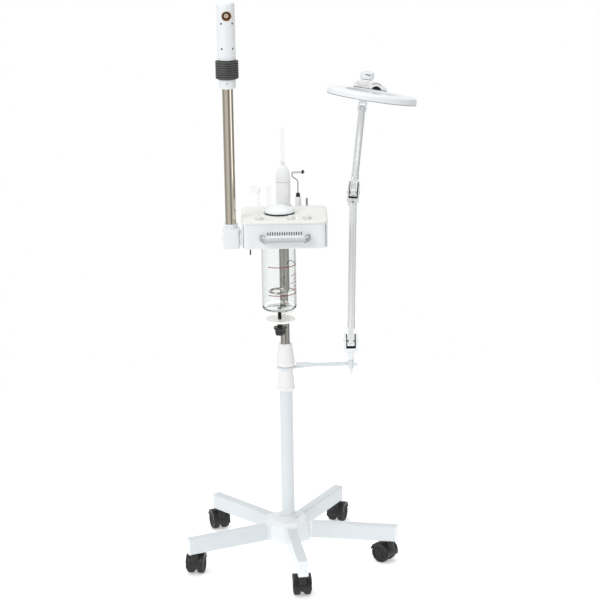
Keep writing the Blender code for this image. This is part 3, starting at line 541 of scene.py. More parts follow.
def make_casters():
    trail, wheel_radius, half_track = 18, 25, 22.1
    side_view = shift(0, trail, wheel_radius) @ SIDEWAYS
    for index in range(1, 6):
        pose = caster_frame(index)
        bm = bmesh.new()
        fender = arc(28.4, 15, 192, 30) + arc(26.2, 192, 15, 30)
        extruded(bm, fender, -half_track, half_track, edge=1, pose=pose @ side_view)
        web = arc(28.1, 12, 198, 26) + [(-15, -8), (4, -8), (7, -3)]
        extruded(bm, web, -4.2, 4.2, edge=0.6, pose=pose @ side_view)
        for side in (-1, 1):
            cheek = arc(28.3, 40, 160, 20) + arc(20.5, 160, 40, 20)
            middle = side * half_track
            extruded(bm, cheek, middle - 0.6, middle + 0.6, edge=0.5, pose=pose @ side_view)
        neck = [(0, 58.5), (8.8, 58.5), (9.8, 56), (11.5, 44), (12.5, 36), (0, 36)]
        turned(bm, soften(neck, 1), pose, steps=36)
        turned(bm, [(0, 86), (4.5, 85), (5, 58.5), (0, 58.5)], pose, steps=24)
        piece("caster_shell_%d" % index, bm, "caster_%d" % index, "black_plastic", [BLACK],
              "caster_hood_%d" % index)

        bm = bmesh.new()
        near, far = 4.8, 21.6
        for side in (-1, 1):
            rim = [(0, far - 2.2), (6, far - 2), (7.5, far - 0.8), (9, far - 2.2)]
            rim += [(16.5, far - 2.2), (18, far - 0.4), (22.2, far - 0.4)]
            tread = [(23.8, far - 1.4), (24.9, far - 4.8), (wheel_radius, (near + far) / 2)]
            tread += [(24.9, near + 4), (23.8, near + 0.8), (22.2, near), (0, near)]
            spin = pose @ side_view @ Matrix.Scale(side, 4, (0, 0, 1))
            turned(bm, rim + tread, spin, steps=48)
            for k in range(5):
                a = 2 * math.pi * k / 5
                spoke = spin @ Matrix.Rotation(a, 4, "Z")
                slab(bm, (7, 2, 1.6), (12.8, 0, far - 2), edge=0.5, pose=spoke, segments=2)
        peg(bm, 3.4, -6, 6, pose=pose @ side_view, steps=24, material=1)
        piece("caster_pair_%d" % index, bm, "wheels_%d" % index, "wheel_rubber", [TREAD, SCREW],
              "caster_wheels_%d" % index)


def make_mast():
    low_z, high_z, radius = levels_of("inner_pole")
    bm = bmesh.new()
    peg(bm, radius, low_z, high_z, 1.2, steps=72)
    piece("mast_pole", bm, "mast", "chrome", [DARK_STEEL], "inner_pole")


# ---------------------------------------------------------------- lamp
def make_lamp_bracket():
    lowest, highest = node_box("lamp_bracket")
    level = (lowest.z + highest.z) / 2
    bm = bmesh.new()
    sleeve(bm, COLUMN_BORE, 22.5, 506.4, 513.5, 1.2, steps=72)
    slab(bm, (24, 9, 6.4), (33, 0, 509.9), edge=1.5)
    sections = [(0, 26.2), (-0.3, 30), (-0.3, 56), (1.2, 64), (1.2, 70)]
    along = shift(0, 0, level) @ Matrix.Rotation(math.radians(90), 4, "Y")
    lofted(bm, (0, 0), (6.6, 3.2), 2.8, sections, along)
    socket = joint_point("lamp_fork_swivel")
    rod = [(60, 0, level), (68, 0, level), (72, 0, level), (socket.x - 6, 0, level + 1)]
    tube(bm, rod, [4.4, 4.9, 5, 5], sides=32)
    sleeve(bm, 4.7, 7, lowest.z, highest.z, 0.8, shift(socket.x, 0), 40)
    thumbscrew = [(0, 16.5), (3.6, 16.5), (4.6, 15), (4.6, 10), (2.8, 9), (2.8, 6), (0, 6)]
    turned(bm, soften(thumbscrew, 0.6), pointing((socket.x, 0, level), (1, -0.25, 0)), steps=24, lobes=8,
           depth=0.05)
    piece("lamp_rod", bm, "lamp_bracket", "white_metal", [PAINTED], "lamp_bracket")


# The material slot that holds a fork's painted shade: the dark sheets inside its gap and the slots across its
# bolt heads.
DARK_SLOT = 2


def cheek_pair(bm, pose, outer, gap, depth, below, above, shade_sheet=0):
    """Two ears with round ends on a base, about the frame's X axis, with dark sheets of painted shade inside
    the gap between them.
    """
    half = depth / 2
    rounding = min(half, above) * 0.9
    if above > half:
        round_end = arc(half, 0, 180, 14, 0, above - half)[1:-1]
    else:
        round_end = arc(rounding, 0, 180, 14, 0, above - rounding)
    outline = [(-half, -below), (half, -below), (half, above - rounding)]
    outline += round_end + [(-half, above - rounding)]
    for side in (-1, 1):
        ends = sorted((side * gap / 2, side * outer / 2))
        extruded(bm, outline, *ends, edge=1, pose=pose @ SIDEWAYS)
    floor = -below + 10.5
    slab(bm, (outer - 0.4, depth - 0.4, floor + below), (0, 0, (floor - below) / 2), edge=1.6, pose=pose)
    # Dark sheets on the inner faces and floor of the gap: painted shade.
    if shade_sheet:
        tall = above - 3 - floor
        for side in (-1, 1):
            slab(bm, (shade_sheet, depth - 3, tall), (side * (gap - shade_sheet) / 2, 0, floor + tall / 2),
                 edge=0.4, pose=pose, material=DARK_SLOT)
        slab(bm, (gap, depth - 1.2, 1.8), (0, 0, floor + 0.4), edge=0.4, pose=pose, material=DARK_SLOT)


def bolt(bm, pose, outer, radius=5):
    """A pin across a fork with a head at each end, along the frame's X axis; the slot in each head is a thin
    dark bar of painted shade.
    """
    for side in (-1, 1):
        out = pose @ Matrix.Translation((side * (outer / 2 - 0.2), 0, 0))
        out = out @ Matrix.Rotation(math.radians(90 * side), 4, "Y")
        turned(bm, [(0, 1.6), (radius * 0.7, 1.5), (radius, 0.6), (radius, 0), (0, 0)], out, steps=24)
        slab(bm, (radius * 1.3, radius * 0.26, 0.4), (0, 0, 1.5), pose=out, material=DARK_SLOT)
    half = outer / 2 - 2
    peg(bm, 3.4, -half, half, pose=pose @ Matrix.Rotation(math.radians(90), 4, "Y"), steps=20)


def eye(bm, pose, width, depth, reach):
    """A flat end with a round eye, about the frame's X axis."""
    radius = depth / 2
    outline = arc(radius, 180, 360, 16) + [(radius, reach), (-radius, reach)]
    extruded(bm, outline, -width / 2, width / 2, edge=0.8, pose=pose @ SIDEWAYS)


def make_lamp_arms():
    socket = joint_point("lamp_fork_swivel")
    hinge, elbow, wrist = joint_point("lower_arm_tilt"), joint_point("elbow"), joint_point("wrist_tilt")
    elbow_axis, wrist_axis = joint_axis("elbow"), joint_axis("wrist_tilt")
    upright = Vector((0, 0, 1))

    bm = bmesh.new()
    pose = frame_from(hinge, Vector((1, 0, 0)), upright)
    cheek_pair(bm, pose, 33.6, 24, 19, 27, 19.7, shade_sheet=2.8)
    stem = [(0, 548), (8.8, 548), (9.2, 544), (7, 538.5), (6.6, 526.8)]
    stem += [(4.5, 526.2), (4.5, 488.5), (3.8, 487.9), (0, 487.9)]
    turned(bm, soften(stem, 0.6), shift(socket.x, 0), steps=40)
    bolt(bm, pose, 33.6)
    piece("lower_fork", bm, "lamp_fork", "white_plastic", [WHITE, DARK_STEEL, SHADOW], "lamp_fork")

    run = elbow - hinge
    straight = pointing(hinge, run)
    bm = bmesh.new()
    eye(bm, frame_from(hinge, Vector((1, 0, 0)), run), 12.2, 16.4, 40)
    peg(bm, 8.9, 33, run.length - 18, 1.2, straight, 48)
    ferrule = [(8.9, 48), (9.7, 47.5), (9.7, 33), (8, 32), (8, 48)]
    turned(bm, soften(ferrule, 0.6), straight, steps=48, closed=True)
    pose = frame_from(elbow, elbow_axis, upright)
    cup = [(0, -23), (11.2, -24), (11.2, -33), (9.2, -34.5), (0, -34.5)]
    turned(bm, soften(cup, 0.8), pose, steps=48)
    cheek_pair(bm, pose, 29, 22, 19, 23, 29, shade_sheet=2.2)
    bolt(bm, pose, 29)
    screw_head(bm, pose @ Vector((0, -11, -21.5)), pose.to_3x3() @ Vector((0, -1, 0)), 2.6, 1, 2)
    piece("lower_tube", bm, "lower_arm", "white_metal", [ARM_PAINT, DARK_STEEL, SHADOW], "lower_arm")

    run = wrist - elbow
    span = run.length
    straight = pointing(elbow, run)
    bm = bmesh.new()
    eye(bm, frame_from(elbow, elbow_axis, run), 12.2, 16, 44)
    eye(bm, frame_from(wrist, wrist_axis, -run), 10, 15, 32)
    taper = [(0, span - 14), (8.6, span - 14), (8.9, 36), (0, 36)]
    turned(bm, soften(taper, 1.2), straight, steps=48)
    sleeve(bm, 8, 9.6, 35, 50, 0.6, straight, 48)
    piece("upper_tube", bm, "upper_arm", "white_metal", [ARM_PAINT], "upper_arm")


SPIGOT_ASIDE, SPIGOT_BEHIND = 10.5, 127


def head_frames():
    """Frames of the dish, of the spigot behind it and of the wrist, all turned with the lamp's head."""
    spigot = joint_point("lamp_head_swivel")
    across, up = joint_axis("wrist_tilt"), joint_axis("lamp_head_swivel")
    back = up.cross(across)
    turn = Matrix((across, back, up)).transposed().to_4x4()
    dish = spigot + across * SPIGOT_ASIDE - back * SPIGOT_BEHIND
    return [Matrix.Translation(point) @ turn for point in (dish, spigot, joint_point("wrist_tilt"))]


AT_DISH, AT_SPIGOT, AT_WRIST = head_frames()


def make_wrist():
    bm = bmesh.new()
    cheek_pair(bm, AT_WRIST @ Matrix.Rotation(math.pi, 4, "X"), 21, 12.4, 16, 23, 10)
    post = [(0, 38), (5, 38), (5, -16), (7.5, -18), (8, -23), (0, -23)]
    turned(bm, soften(post, 0.6), AT_SPIGOT, steps=36)
    bolt(bm, AT_WRIST, 21, 4.2)
    piece("head_fork", bm, "wrist", "white_plastic", [WHITE, WHITE, MARK], "wrist_fork")

    bm = bmesh.new()
    knob = [(0, 49), (14, 49), (16.5, 47.8), (17.4, 45.5), (17.4, 33), (16, 30.2)]
    knob += [(5.5, 30.2), (5.5, 38), (0, 38)]
    turned(bm, soften(knob, 1.2), AT_SPIGOT, steps=72)
    slab(bm, (15, 2.4, 0.4), (1, -2, 49.1), pose=AT_SPIGOT, material=1)
    slab(bm, (13, 3, 1.6), (0, -16.3, 42), edge=0.4, pose=AT_SPIGOT, material=1)
    piece("lamp_knob", bm, "head_knob", "white_plastic", [WHITE, SHADOW], "head_knob")


def make_lamp_dish():
    bm = bmesh.new()
    rim = 110
    shell = [(66, 9.2), (70, 9.6), (90, 9.4), (102, 8.8), (rim - 3, 8)]
    shell += [(rim - 0.6, 5.8), (rim, 3), (rim, -6.2), (rim - 0.8, -8.2), (rim - 3, -9)]
    shell += [(rim - 5.5, -8.5), (rim - 6.5, 5), (70, 6.5), (69, -7), (66, -7.2)]
    turned(bm, soften(shell, 1), AT_DISH, steps=128, closed=True)
    sleeve(bm, rim - 1.2, rim + 0.2, -7.8, -6.6, pose=AT_DISH, steps=128, material=1)
    piece("lamp_dish", bm, "lamp_head", "white_plastic", [WHITE, MARK], "lamp_housing")

    bm = bmesh.new()
    ring_radius = 87
    circle = arc(5, 0, 360, 16, ring_radius)[:-1]
    turned(bm, circle, AT_DISH, steps=128, closed=True)
    for k in range(3):
        around = Matrix.Rotation(math.radians(40 + 120 * k), 4, "Z")
        slab(bm, (12, 3, 5), (ring_radius, 0, 3), edge=0.8, pose=AT_DISH @ around, material=1)
    piece("lamp_ring", bm, "lamp_head", "lamp_tube", [LAMP_TUBE, WHITE], "ring_lamp")

    bm = bmesh.new()
    dome = [(65.5 * k / 20, 6.3 - 5 * (k / 20) ** 2) for k in range(21)]
    turned(bm, dome + [(r, -z) for r, z in reversed(dome)], AT_DISH, steps=96)
    piece("magnifier", bm, "lamp_head", "lens_glass", [LENS_GLASS], "lens")


def make_head_casting():
    """A plate across the dish's rim, with an arched opening and a stepped rim above it; painted shade darkens
    the opening's depth, the step and the gap under the plate.
    """
    bm = bmesh.new()
    eye_x, eye_z, foot = 15, 6, 10
    outline = [(-40, foot), (-42.5, 12.5), (-40.5, 20), (-35, 26.2), (-25, 28.5)]
    outline += [(0, 28.6), (16, 27.8), (29, 23.2), (40, 16.5), (42.5, foot)]
    extruded(bm, outline, -108, -93, edge=1.6, pose=AT_DISH @ UPRIGHT)
    # The innermost arch, in the dark material, is painted shade deep in the opening.
    for radius, near, material in ((17.6, -88, 0), (15, -87, 1), (12.8, -86.6, 2)):
        arch = [point for point in arc(radius, 0, 180, 24, eye_x, eye_z) if point[1] > foot]
        extruded(bm, arch, -95, near, edge=0.3, pose=AT_DISH @ UPRIGHT, material=material)
    # The step is a thin dark band: painted shade along the step.
    step = arc(20, 55, 128, 12, eye_x, eye_z) + arc(18.4, 128, 55, 12, eye_x, eye_z)
    extruded(bm, step, -93.5, -92.4, pose=AT_DISH @ UPRIGHT, material=4)
    # A dark sheet in the gap under the plate: painted shadow.
    slab(bm, (84, 12, 1.2), (0, 100, 9.4), pose=AT_DISH, material=2)
    slab(bm, (27, 5, 11), (-22.5, 91.5, 20.5), edge=2.2, pose=AT_DISH, material=3)
    sleeve(bm, 5.3, 13, 10, 29.6, 1.2, AT_SPIGOT, 48)
    slab(bm, (23, 26, 19), (-SPIGOT_ASIDE, 114, 19.6), edge=2, pose=AT_DISH)
    sleeve(bm, 5, 5.8, 9, 29.8, pose=AT_SPIGOT, steps=32)
    colours = [WARM_WHITE, CREAM, SHADOW, CREAM, MARK]
    piece("head_casting", bm, "lamp_head", "cream_plastic", colours, "head_bracket")


# ---------------------------------------------------------------- steam arm
# The collar and the grip's lower edge sit this much higher than in the CAD.
COLLAR_LIFT = 4


def make_steam_arm():
    pivot = joint_point("steam_arm_tilt")
    x, y = pivot.xy
    here = shift(x, y)

    bm = bmesh.new()
    sections = [(3, 848), (1, 848.7), (0, 851), (0, 894), (1, 896.3), (3, 897)]
    lofted(bm, (x, y), (20.5, 20), 5.5, sections)
    sleeve(bm, 13.4, 16.4, 895.5, 908, 0.8, here, 96, lobes=16, depth=0.035)
    to_box = node_box("box_body")[0].x - x
    shoulder = [(0, to_box - 0.3), (19.5, to_box - 0.3), (19.5, to_box - 4.3)]
    shoulder += [(15, to_box - 4.6), (15, 14), (0, 14)]
    turned(bm, soften(shoulder, 0.6), pointing(pivot, (1, 0, 0)))
    peg(bm, 9, 18, 43, pose=pointing(pivot, (1, 0, 0)), steps=32)
    screw_head(bm, pivot + Vector((-20.3, 0, 0)), (-1, 0, 0), 4.2, 0, 1)
    piece("arm_block", bm, "steam_arm", "white_plastic", [WHITE, SHADOW], "pivot_block")

    low_z, high_z, radius = levels_of("steam_tube")
    bm = bmesh.new()
    sleeve(bm, radius - 1.2, radius, low_z, high_z, pose=here, steps=96)
    piece("arm_tube", bm, "steam_arm", "chrome", [STEEL], "steam_tube")

    low_z, high_z = (level + COLLAR_LIFT for level in levels_of("tube_collar")[:2])
    bm = bmesh.new()
    profile = [(18.8, high_z), (20.2, high_z - 1.4), (20.2, low_z + 1.4), (18.6, low_z)]
    profile += [(13.3, low_z), (13.3, high_z)]
    turned(bm, soften(profile, 1), here, steps=72, closed=True)
    screw_head(bm, (x, y - 20, (low_z + high_z) / 2 + 2), (0, -1, 0), 1.6, 1, 1)
    piece("arm_collar", bm, "steam_arm", "white_plastic", [WHITE, SCREW], "tube_collar")


def make_steam_head():
    x, y = joint_point("steam_arm_tilt").xy
    here = shift(x, y)
    low_z, high_z = levels_of("head_grip")[:2]
    low_z += COLLAR_LIFT
    bm = bmesh.new()
    ribs, full = 8, 27.6
    pitch = (high_z - low_z) / ribs
    # The core between the ribs is near black and the ribs lighter rubber: the dark grooves are painted shade.
    core = [(17, high_z - 0.8), (full - 1.8, high_z - 0.8), (full - 1.8, low_z), (13.4, low_z)]
    turned(bm, core + [(13.4, high_z - 0.8)], here, steps=96, closed=True, material=1)
    half_rib = [(2.4, 0.34), (0.6, 0.32), (0, 0.16)]
    for rib in range(ribs):
        middle = high_z - (rib + 0.5) * pitch
        ring = [(full - inset, middle + share * pitch) for inset, share in half_rib]
        ring += [(full - inset, middle - share * pitch) for inset, share in reversed(half_rib)]
        turned(bm, ring, here, steps=96, closed=True)
    piece("ribbed_grip", bm, "steam_head", "black_rubber", [RUBBER, BLACK], "head_grip", angle=50)

    low_z, high_z = levels_of("steam_head")[:2]
    outlet_z = 1407.6
    heading = math.radians(7.5)
    out = Vector((math.sin(heading), -math.cos(heading), 0))
    bm = bmesh.new()
    radius, wall = 21.5, 2.8
    profile = [(0, high_z), (radius - 6, high_z - 0.2), (radius - 2.2, high_z - 1.6)]
    profile += [(radius - 0.5, high_z - 4.2), (radius, high_z - 8), (radius, low_z + 0.8)]
    profile += [(radius - 0.8, low_z), (13.5, low_z), (13.5, low_z + 3), (radius - wall, low_z + 3)]
    profile += [(radius - wall, high_z - 4.5), (0, high_z - 4.5)]
    turned(bm, profile, here, steps=96)
    head = piece("head_shell", bm, "steam_head", "white_plastic", [WHITE], "steam_head")
    cutter = bmesh.new()
    place = pointing((x, y, outlet_z), out)
    peg(cutter, 12.6, 10, 35, pose=place)
    pierce(head, cutter)

    bm = bmesh.new()
    for level in (1390.5, 1331.5):
        for side in (-1, 1):
            a = heading + math.radians(37 * side)
            normal = Vector((math.sin(a), -math.cos(a), 0))
            screw_head(bm, Vector((x, y, level)) + normal * 21.2, normal, 2.4, 0, 0)
    sleeve(bm, 21, 21.65, low_z + 0.8, low_z + 1.4, pose=here, steps=96, material=1)
    piece("head_screws", bm, "steam_head", "white_plastic", [SCREW, MARK])

    bm = bmesh.new()
    cone = [(12.5, 20.8), (12.5, 11), (0, 11), (0, 12.2), (4.5, 12.4), (7.5, 14.5), (9.8, 17.8), (11.2, 20.6)]
    turned(bm, cone, place)
    # The rim and the tip are pale: partly the brass's own colour, partly a painted highlight.
    turned(bm, [(12.5, 20.8), (12.1, 21.4), (11.2, 20.6)], place, material=1)
    tip_place = place @ shift(-0.6, 0.6)
    tip = [(1.6, 12), (1.6, 17.2), (4.4, 17.2), (5.8, 15), (6.2, 12.2)]
    turned(bm, soften(tip, 0.6), tip_place, steps=40, material=1)
    # A dark disc down in the tip's bore: painted shade.
    turned(bm, [(0, 15), (1.7, 15)], tip_place, steps=24, material=2)
    piece("outlet_nozzle", bm, "steam_head", "copper", [COPPER, GOLD, SHADOW], "steam_nozzle")


# ---------------------------------------------------------------- box
KNOBS = ("steam_knob", "current_knob", "frequency_knob")
SWITCH = axis_of("power_switch")[:2]
OVER_CAP = shift(*axis_of("boiler_cap")[:2])
LID_TOP = node_box("box_lid")[1].z


def make_box_shell():
    lowest, highest = node_box("box_body")
    centre, half = plan_of("box_body")
    bottom, top, wall = lowest.z, highest.z, 2.6

    bm = bmesh.new()
    sections = [(10, bottom), (3, bottom), (1, bottom + 0.6), (0, bottom + 2.8), (0, top - 0.4), (0.4, top)]
    sections += [(wall, top), (wall, bottom + wall + 2), (wall + 2, bottom + wall), (10, bottom + wall)]
    lofted(bm, centre, half, 18, sections, turns=12)
    body = piece("box_shell", bm, "mast", "white_plastic", [WHITE], "box_body")
    cutter = bmesh.new()
    vents, vent_pitch, vent_z = 15, 5.7, 889.8
    for k in range(vents):
        x = centre[0] + (k - vents // 2) * vent_pitch
        lofted(cutter, (x, vent_z), (1.3, 4.5), 1.2, [(0, 140), (0, 160)], UPRIGHT, turns=4)
    jar = joint_point("jar_screw_turn")
    for radius, x, y in ((45.5, jar.x, jar.y), (POLE_BORE, 0, 0)):
        peg(cutter, radius, bottom - 10, bottom + 10, pose=shift(x, y))
    pierce(body, cutter)

    # A nearly black sheet a little way behind the vents: painted shade for the dark inside of the box.
    bm = bmesh.new()
    lofted(bm, centre, (half[0] - 4, 0.6), 0.4, [(0, bottom + 4), (0, top - 2)],
           shift(0, lowest.y + 6 - centre[1]))
    piece("vent_painted_shade", bm, "mast", "white_plastic", [DIM])


def make_lid():
    centre, half = plan_of("box_body")[0], plan_of("box_lid")[1]
    bottom, top = levels_of("box_lid")[:2]
    bm = bmesh.new()
    sections = [(2, bottom), (0.4, bottom + 0.2), (0, bottom + 0.8), (0, top - 3.4)]
    sections += [(0.5, top - 2), (1.6, top - 0.9), (3.4, top - 0.2), (6, top)]
    lofted(bm, centre, half, 19.2, sections, turns=12)
    lid = piece("lid_panel", bm, "mast", "cream_plastic", [CREAM], "box_lid")
    cutter = bmesh.new()
    peg(cutter, 24.7, bottom - 10, top + 10, pose=OVER_CAP)
    lofted(cutter, SWITCH, (5.1, 7.3), 1.2, [(0, bottom - 10), (0, top + 10)])
    pierce(lid, cutter)


def make_lid_details():
    """The raised surround of the cap with a dark ring of painted shadow in the gap under it, the lamp, and
    the prints round the controls.
    """
    top = LID_TOP
    cap_z, _, cap_radius = levels_of("boiler_cap")
    bm = bmesh.new()
    surround = [(29.5, top), (29, top + 1.6), (26.2, top + 1.6), (25, top - 1)]
    turned(bm, soften(surround, 0.6), OVER_CAP, steps=72)
    bezel = [(0, top - 0.4), (0.2, top + 0.6), (0.6, top + 0.8)]
    lofted(bm, SWITCH, (6.2, 8.2), 2, bezel, material=1)
    dots = arc(12.2, -60, 240, 8)
    scale = arc(12.2, 35, 150, 16) + arc(10.6, 150, 35, 16)
    for name in KNOBS:
        x, y = axis_of(name)[:2]
        sleeve(bm, 9.8, 10.2, top + 0.1, top + 0.2, pose=shift(x, y), steps=48, material=2)
        for dot_x, dot_y in dots:
            turned(bm, [(0, top + 0.3), (0.5, top + 0.2), (0.5, top)], shift(x + dot_x, y + dot_y),
                   steps=10, material=2)
        extruded(bm, scale, top - 0.2, top + 0.3, pose=shift(x, y), material=2)
    # A black ring in the gap between the lid and the cap: painted shadow under the cap's rim.
    seat_z = top - 0.2
    cap_gap_shade = [(cap_radius - 0.8, cap_z - 0.2), (cap_radius - 1.2, seat_z), (30, seat_z), (30, cap_z - 0.2)]
    turned(bm, cap_gap_shade, OVER_CAP, steps=96, closed=True, material=4)
    indicator = shift(34.8, SWITCH[1])
    dome = [(0, top + 3.4), (2.2, top + 3.2), (3.4, top + 2), (3.6, top)]
    turned(bm, soften(dome, 0.5), indicator, steps=32, material=3)
    rim = [(5.2, top), (5, top + 0.9), (3.8, top + 0.9), (3.7, top)]
    turned(bm, rim, indicator, steps=32, material=1)
    piece("lid_details", bm, "mast", "cream_plastic", [CREAM, PALE, MARK, MILKY_GLOW, BLACK])


def make_controls():
    top = LID_TOP
    for name in KNOBS:
        x, y, _, high_z, radius = axis_of(name)
        bm = bmesh.new()
        profile = [(0, high_z), (radius * 0.74, high_z), (radius * 0.86, high_z - 0.8)]
        profile += [(radius * 0.92, top + 1.6), (radius, top + 1.2), (radius, top + 0.4), (0, top + 0.4)]
        turned(bm, soften(profile, 0.6), shift(x, y), steps=72, lobes=18, depth=0.018)
        slab(bm, (0.9, radius * 0.8, 0.4), (x, y + radius * 0.4, high_z + 0.1), edge=0.1, material=1)
        piece(name + "_cap", bm, name, "control_plastic", [PALE, MARK], name)

    x, y = SWITCH
    bm = bmesh.new()
    dish = [(-5.8, 3.2), (-3, 2), (0, 1.4), (3, 2), (5.8, 3.2)]
    outline = dish + [(5.8, -3.5), (-5.8, -3.5)]
    extruded(bm, outline, -4.1, 4.1, edge=0.5, pose=shift(x, y, top) @ SIDEWAYS)
    slab(bm, (0.6, 2.4, 0.3), (x, y + 3.6, top + 2.4), material=1)
    piece("rocker", bm, "power_switch", "white_plastic", [WHITE, MARK], "power_switch", angle=50)


def make_handle():
    """A ribbed bar on two brackets that spread towards the box; its grey front is painted shade and the white
    strip on its top a painted highlight.
    """
    lowest, highest = node_box("front_handle")
    middle_x = (lowest.x + highest.x) / 2
    spread = (highest.x - lowest.x) / 2 - 0.4
    reach = spread - 10.5
    low_z, high_z = lowest.z + 1.5, highest.z - 1.5
    front, wall_y = lowest.y, node_box("box_body")[0].y - 0.3
    bm = bmesh.new()
    sections = [(1.5, middle_x - reach), (0, middle_x - reach + 1.5), (0, middle_x + reach - 1.5)]
    sections.append((1.5, middle_x + reach))
    # The bar's grey front: painted shade.
    lofted(bm, (front + 6.2, (low_z + high_z) / 2), (5.6, (high_z - low_z) / 2), 3, sections, SIDEWAYS)
    ribs = 30
    for k in range(ribs):
        x = middle_x - reach + 5 + k * (2 * reach - 10) / (ribs - 1)
        slab(bm, (1.7, 1.6, 5.6), (x, front + 0.8, high_z - 4.2), edge=0.5, material=3, segments=2)
    # A white strip along the top: painted highlight.
    slab(bm, (2 * reach + 8, 11, 2), (middle_x, front + 7, high_z - 0.4), edge=0.8, material=1)
    for side in (-1, 1):
        near, far = middle_x + side * reach, middle_x + side * spread
        bracket = [(near - side * 6, front + 3), (near, front + 3), (far, wall_y)]
        bracket.append((far - side * 7.5, wall_y))
        extruded(bm, bracket, lowest.z, highest.z, edge=0.8, material=2)
    piece("handle_bar", bm, "mast", "handle_plastic", [GREY, WHITE, DULL, PALE], "front_handle")


def make_cap():
    low_z, high_z, radius = levels_of("boiler_cap")
    bm = bmesh.new()
    profile = [(0, high_z - 0.4), (8, high_z - 0.4), (16.5, high_z - 1.4), (18, high_z - 2.6)]
    profile += [(26, high_z - 4.8), (33.5, high_z - 8.4), (36.5, high_z - 11.2)]
    profile += [(radius, high_z - 13.8), (radius, low_z + 0.8), (radius - 1.2, low_z), (28.2, low_z)]
    profile += [(28.2, low_z + 7), (0, low_z + 7)]
    turned(bm, soften(profile, 1), OVER_CAP, steps=96)
    piece("filler_cap", bm, "boiler_cap", "cool_plastic", [WHITE], "boiler_cap")


def make_jar():
    x, y, low_z, high_z, radius = axis_of("water_jar")
    inner = radius - 2.6
    here = shift(x, y)
    bm = bmesh.new()
    profile = [(0, low_z + 5), (inner - 10, low_z + 4.6), (inner - 3, low_z + 5.8)]
    profile += [(inner, low_z + 10), (inner, high_z - 0.8), (inner + 0.6, high_z)]
    profile += [(radius - 0.6, high_z), (radius, high_z - 0.8), (radius, low_z + 7.5)]
    profile += [(radius - 1, low_z + 3), (radius - 4, low_z + 0.6), (radius - 8, low_z)]
    profile += [(radius - 14, low_z), (radius - 17, low_z + 1.2), (0, low_z + 1.4)]
    turned(bm, profile, here, steps=128)
    piece("glass_jar", bm, "water_jar", "jar_glass", [JAR_GLASS], "water_jar", angle=60)

    bm = bmesh.new()

    def band(level, height, first, last):
        """A printed line on the outside of the jar, between two angles."""
        count = max(2, int(abs(last - first) / 4))
        columns = []
        for px, py in arc(radius + 0.3, first, last, count):
            heights = (level - height / 2, level + height / 2)
            columns.append([bm.verts.new(here @ Vector((px, py, z))) for z in heights])
        for a, b in zip(columns, columns[1:]):
            bm.faces.new((a[0], b[0], b[1], a[1]))

    for level in (793.5, 722.5):
        band(level, 2, -128, 62)
    for k, level in enumerate((733, 742, 751, 760, 770)):
        band(level, 1.4, -34 if k % 2 else -48, -12)
    piece("level_marks", bm, "water_jar", "jar_glass", [RED])


def make_heater():
    x, y = axis_of("water_jar")[:2]
    bm = bmesh.new()
    ring_r, ring_z, top_z = 22.5, 724, 861.2
    ends = arc(ring_r, 0, 330, 1)
    points = [(*ends[0], top_z), (*ends[0], ring_z + 6), (*ends[0], ring_z + 2)]
    points += [(px, py, ring_z) for px, py in arc(ring_r, 6, 324, 48)]
    points += [(*ends[1], ring_z + 2), (*ends[1], ring_z + 6), (*ends[1], top_z)]
    tube(bm, points, 3.1, sides=20, pose=shift(x, y))
    nut = soften([(5, top_z), (5, top_z - 6), (3.2, top_z - 6.6)], 0.6)
    for px, py in ends:
        turned(bm, nut, shift(x + px, y + py), steps=6)
    piece("heating_coil", bm, "mast", "steel", [DARK_STEEL], "heater")


def make_jar_clamp():
    jar = joint_point("jar_screw_turn")
    lowest, highest = node_box("jar_plate")
    radius, bottom, top = 37, 649, 654.3
    plate_x = lowest.x + radius
    bm = bmesh.new()
    dish = [(0, top - 1.4), (radius - 5, top - 1.4), (radius - 3.4, top), (radius - 0.6, top - 0.4)]
    dish += [(radius, top - 2), (radius - 1.2, bottom + 0.4), (radius - 4, bottom), (0, bottom)]
    turned(bm, soften(dish, 0.8), shift(plate_x, jar.y), steps=96)
    slab(bm, (18, 42, top - bottom), (plate_x / 2, -30, (bottom + top) / 2), edge=1.4)
    sleeve(bm, 11.7, 19, bottom, highest.z, 1.2)
    # The support plate glows a little: painted light.
    piece("support_plate", bm, "mast", "white_plastic", [MILKY_GLOW], "jar_plate")

    low_z, high_z = levels_of("jar_screw")[:2]
    here = shift(jar.x, jar.y)
    bm = bmesh.new()
    thread = [(0, high_z), (3.4, high_z), (4, high_z - 0.6)]
    level, pitch = high_z - 1, 1.4
    while level > 641:
        thread += [(4.5, level), (3.9, level - pitch / 2)]
        level -= pitch
    thread += [(4.5, 640), (6.2, 638.8), (6.2, 632.5), (0, 632.5)]
    turned(bm, thread, here, steps=32, material=1)
    knob = [(0, 632.7), (14.8, 632.7), (16, 631.4), (15.6, 629.2), (12.8, 626.8)]
    knob += [(11.8, low_z + 5), (10.2, low_z + 1), (7, low_z), (0, low_z + 0.4)]
    turned(bm, soften(knob, 1), here, steps=90, lobes=5, depth=0.1)
    piece("clamp_knob", bm, "jar_screw", "black_plastic", [BLACK, BLACK], "jar_screw", angle=40)
    repaint(TREAD, "jar_pad")


def make_underside():
    x, y, low_z, high_z, radius = axis_of("cable_gland")
    here = shift(x, y)
    bm = bmesh.new()
    nut = [(0, high_z), (radius, high_z), (radius, 848), (5, 847), (4.6, 839), (2, 837.4)]
    turned(bm, soften(nut + [(0, 837.4)], 0.5), here, steps=6)
    cap = [(5.2, 846.5), (5.4, 844), (5.4, 841), (4.8, 839.5)]
    turned(bm, cap, here, steps=48, lobes=12, depth=0.03)
    plug = [(0, 838), (1.7, 838), (1.6, low_z + 0.4), (1.2, low_z), (0, low_z)]
    turned(bm, plug, here, steps=20, material=1)
    piece("gland_nut", bm, "mast", "white_plastic", [GREY, BLACK], "cable_gland")


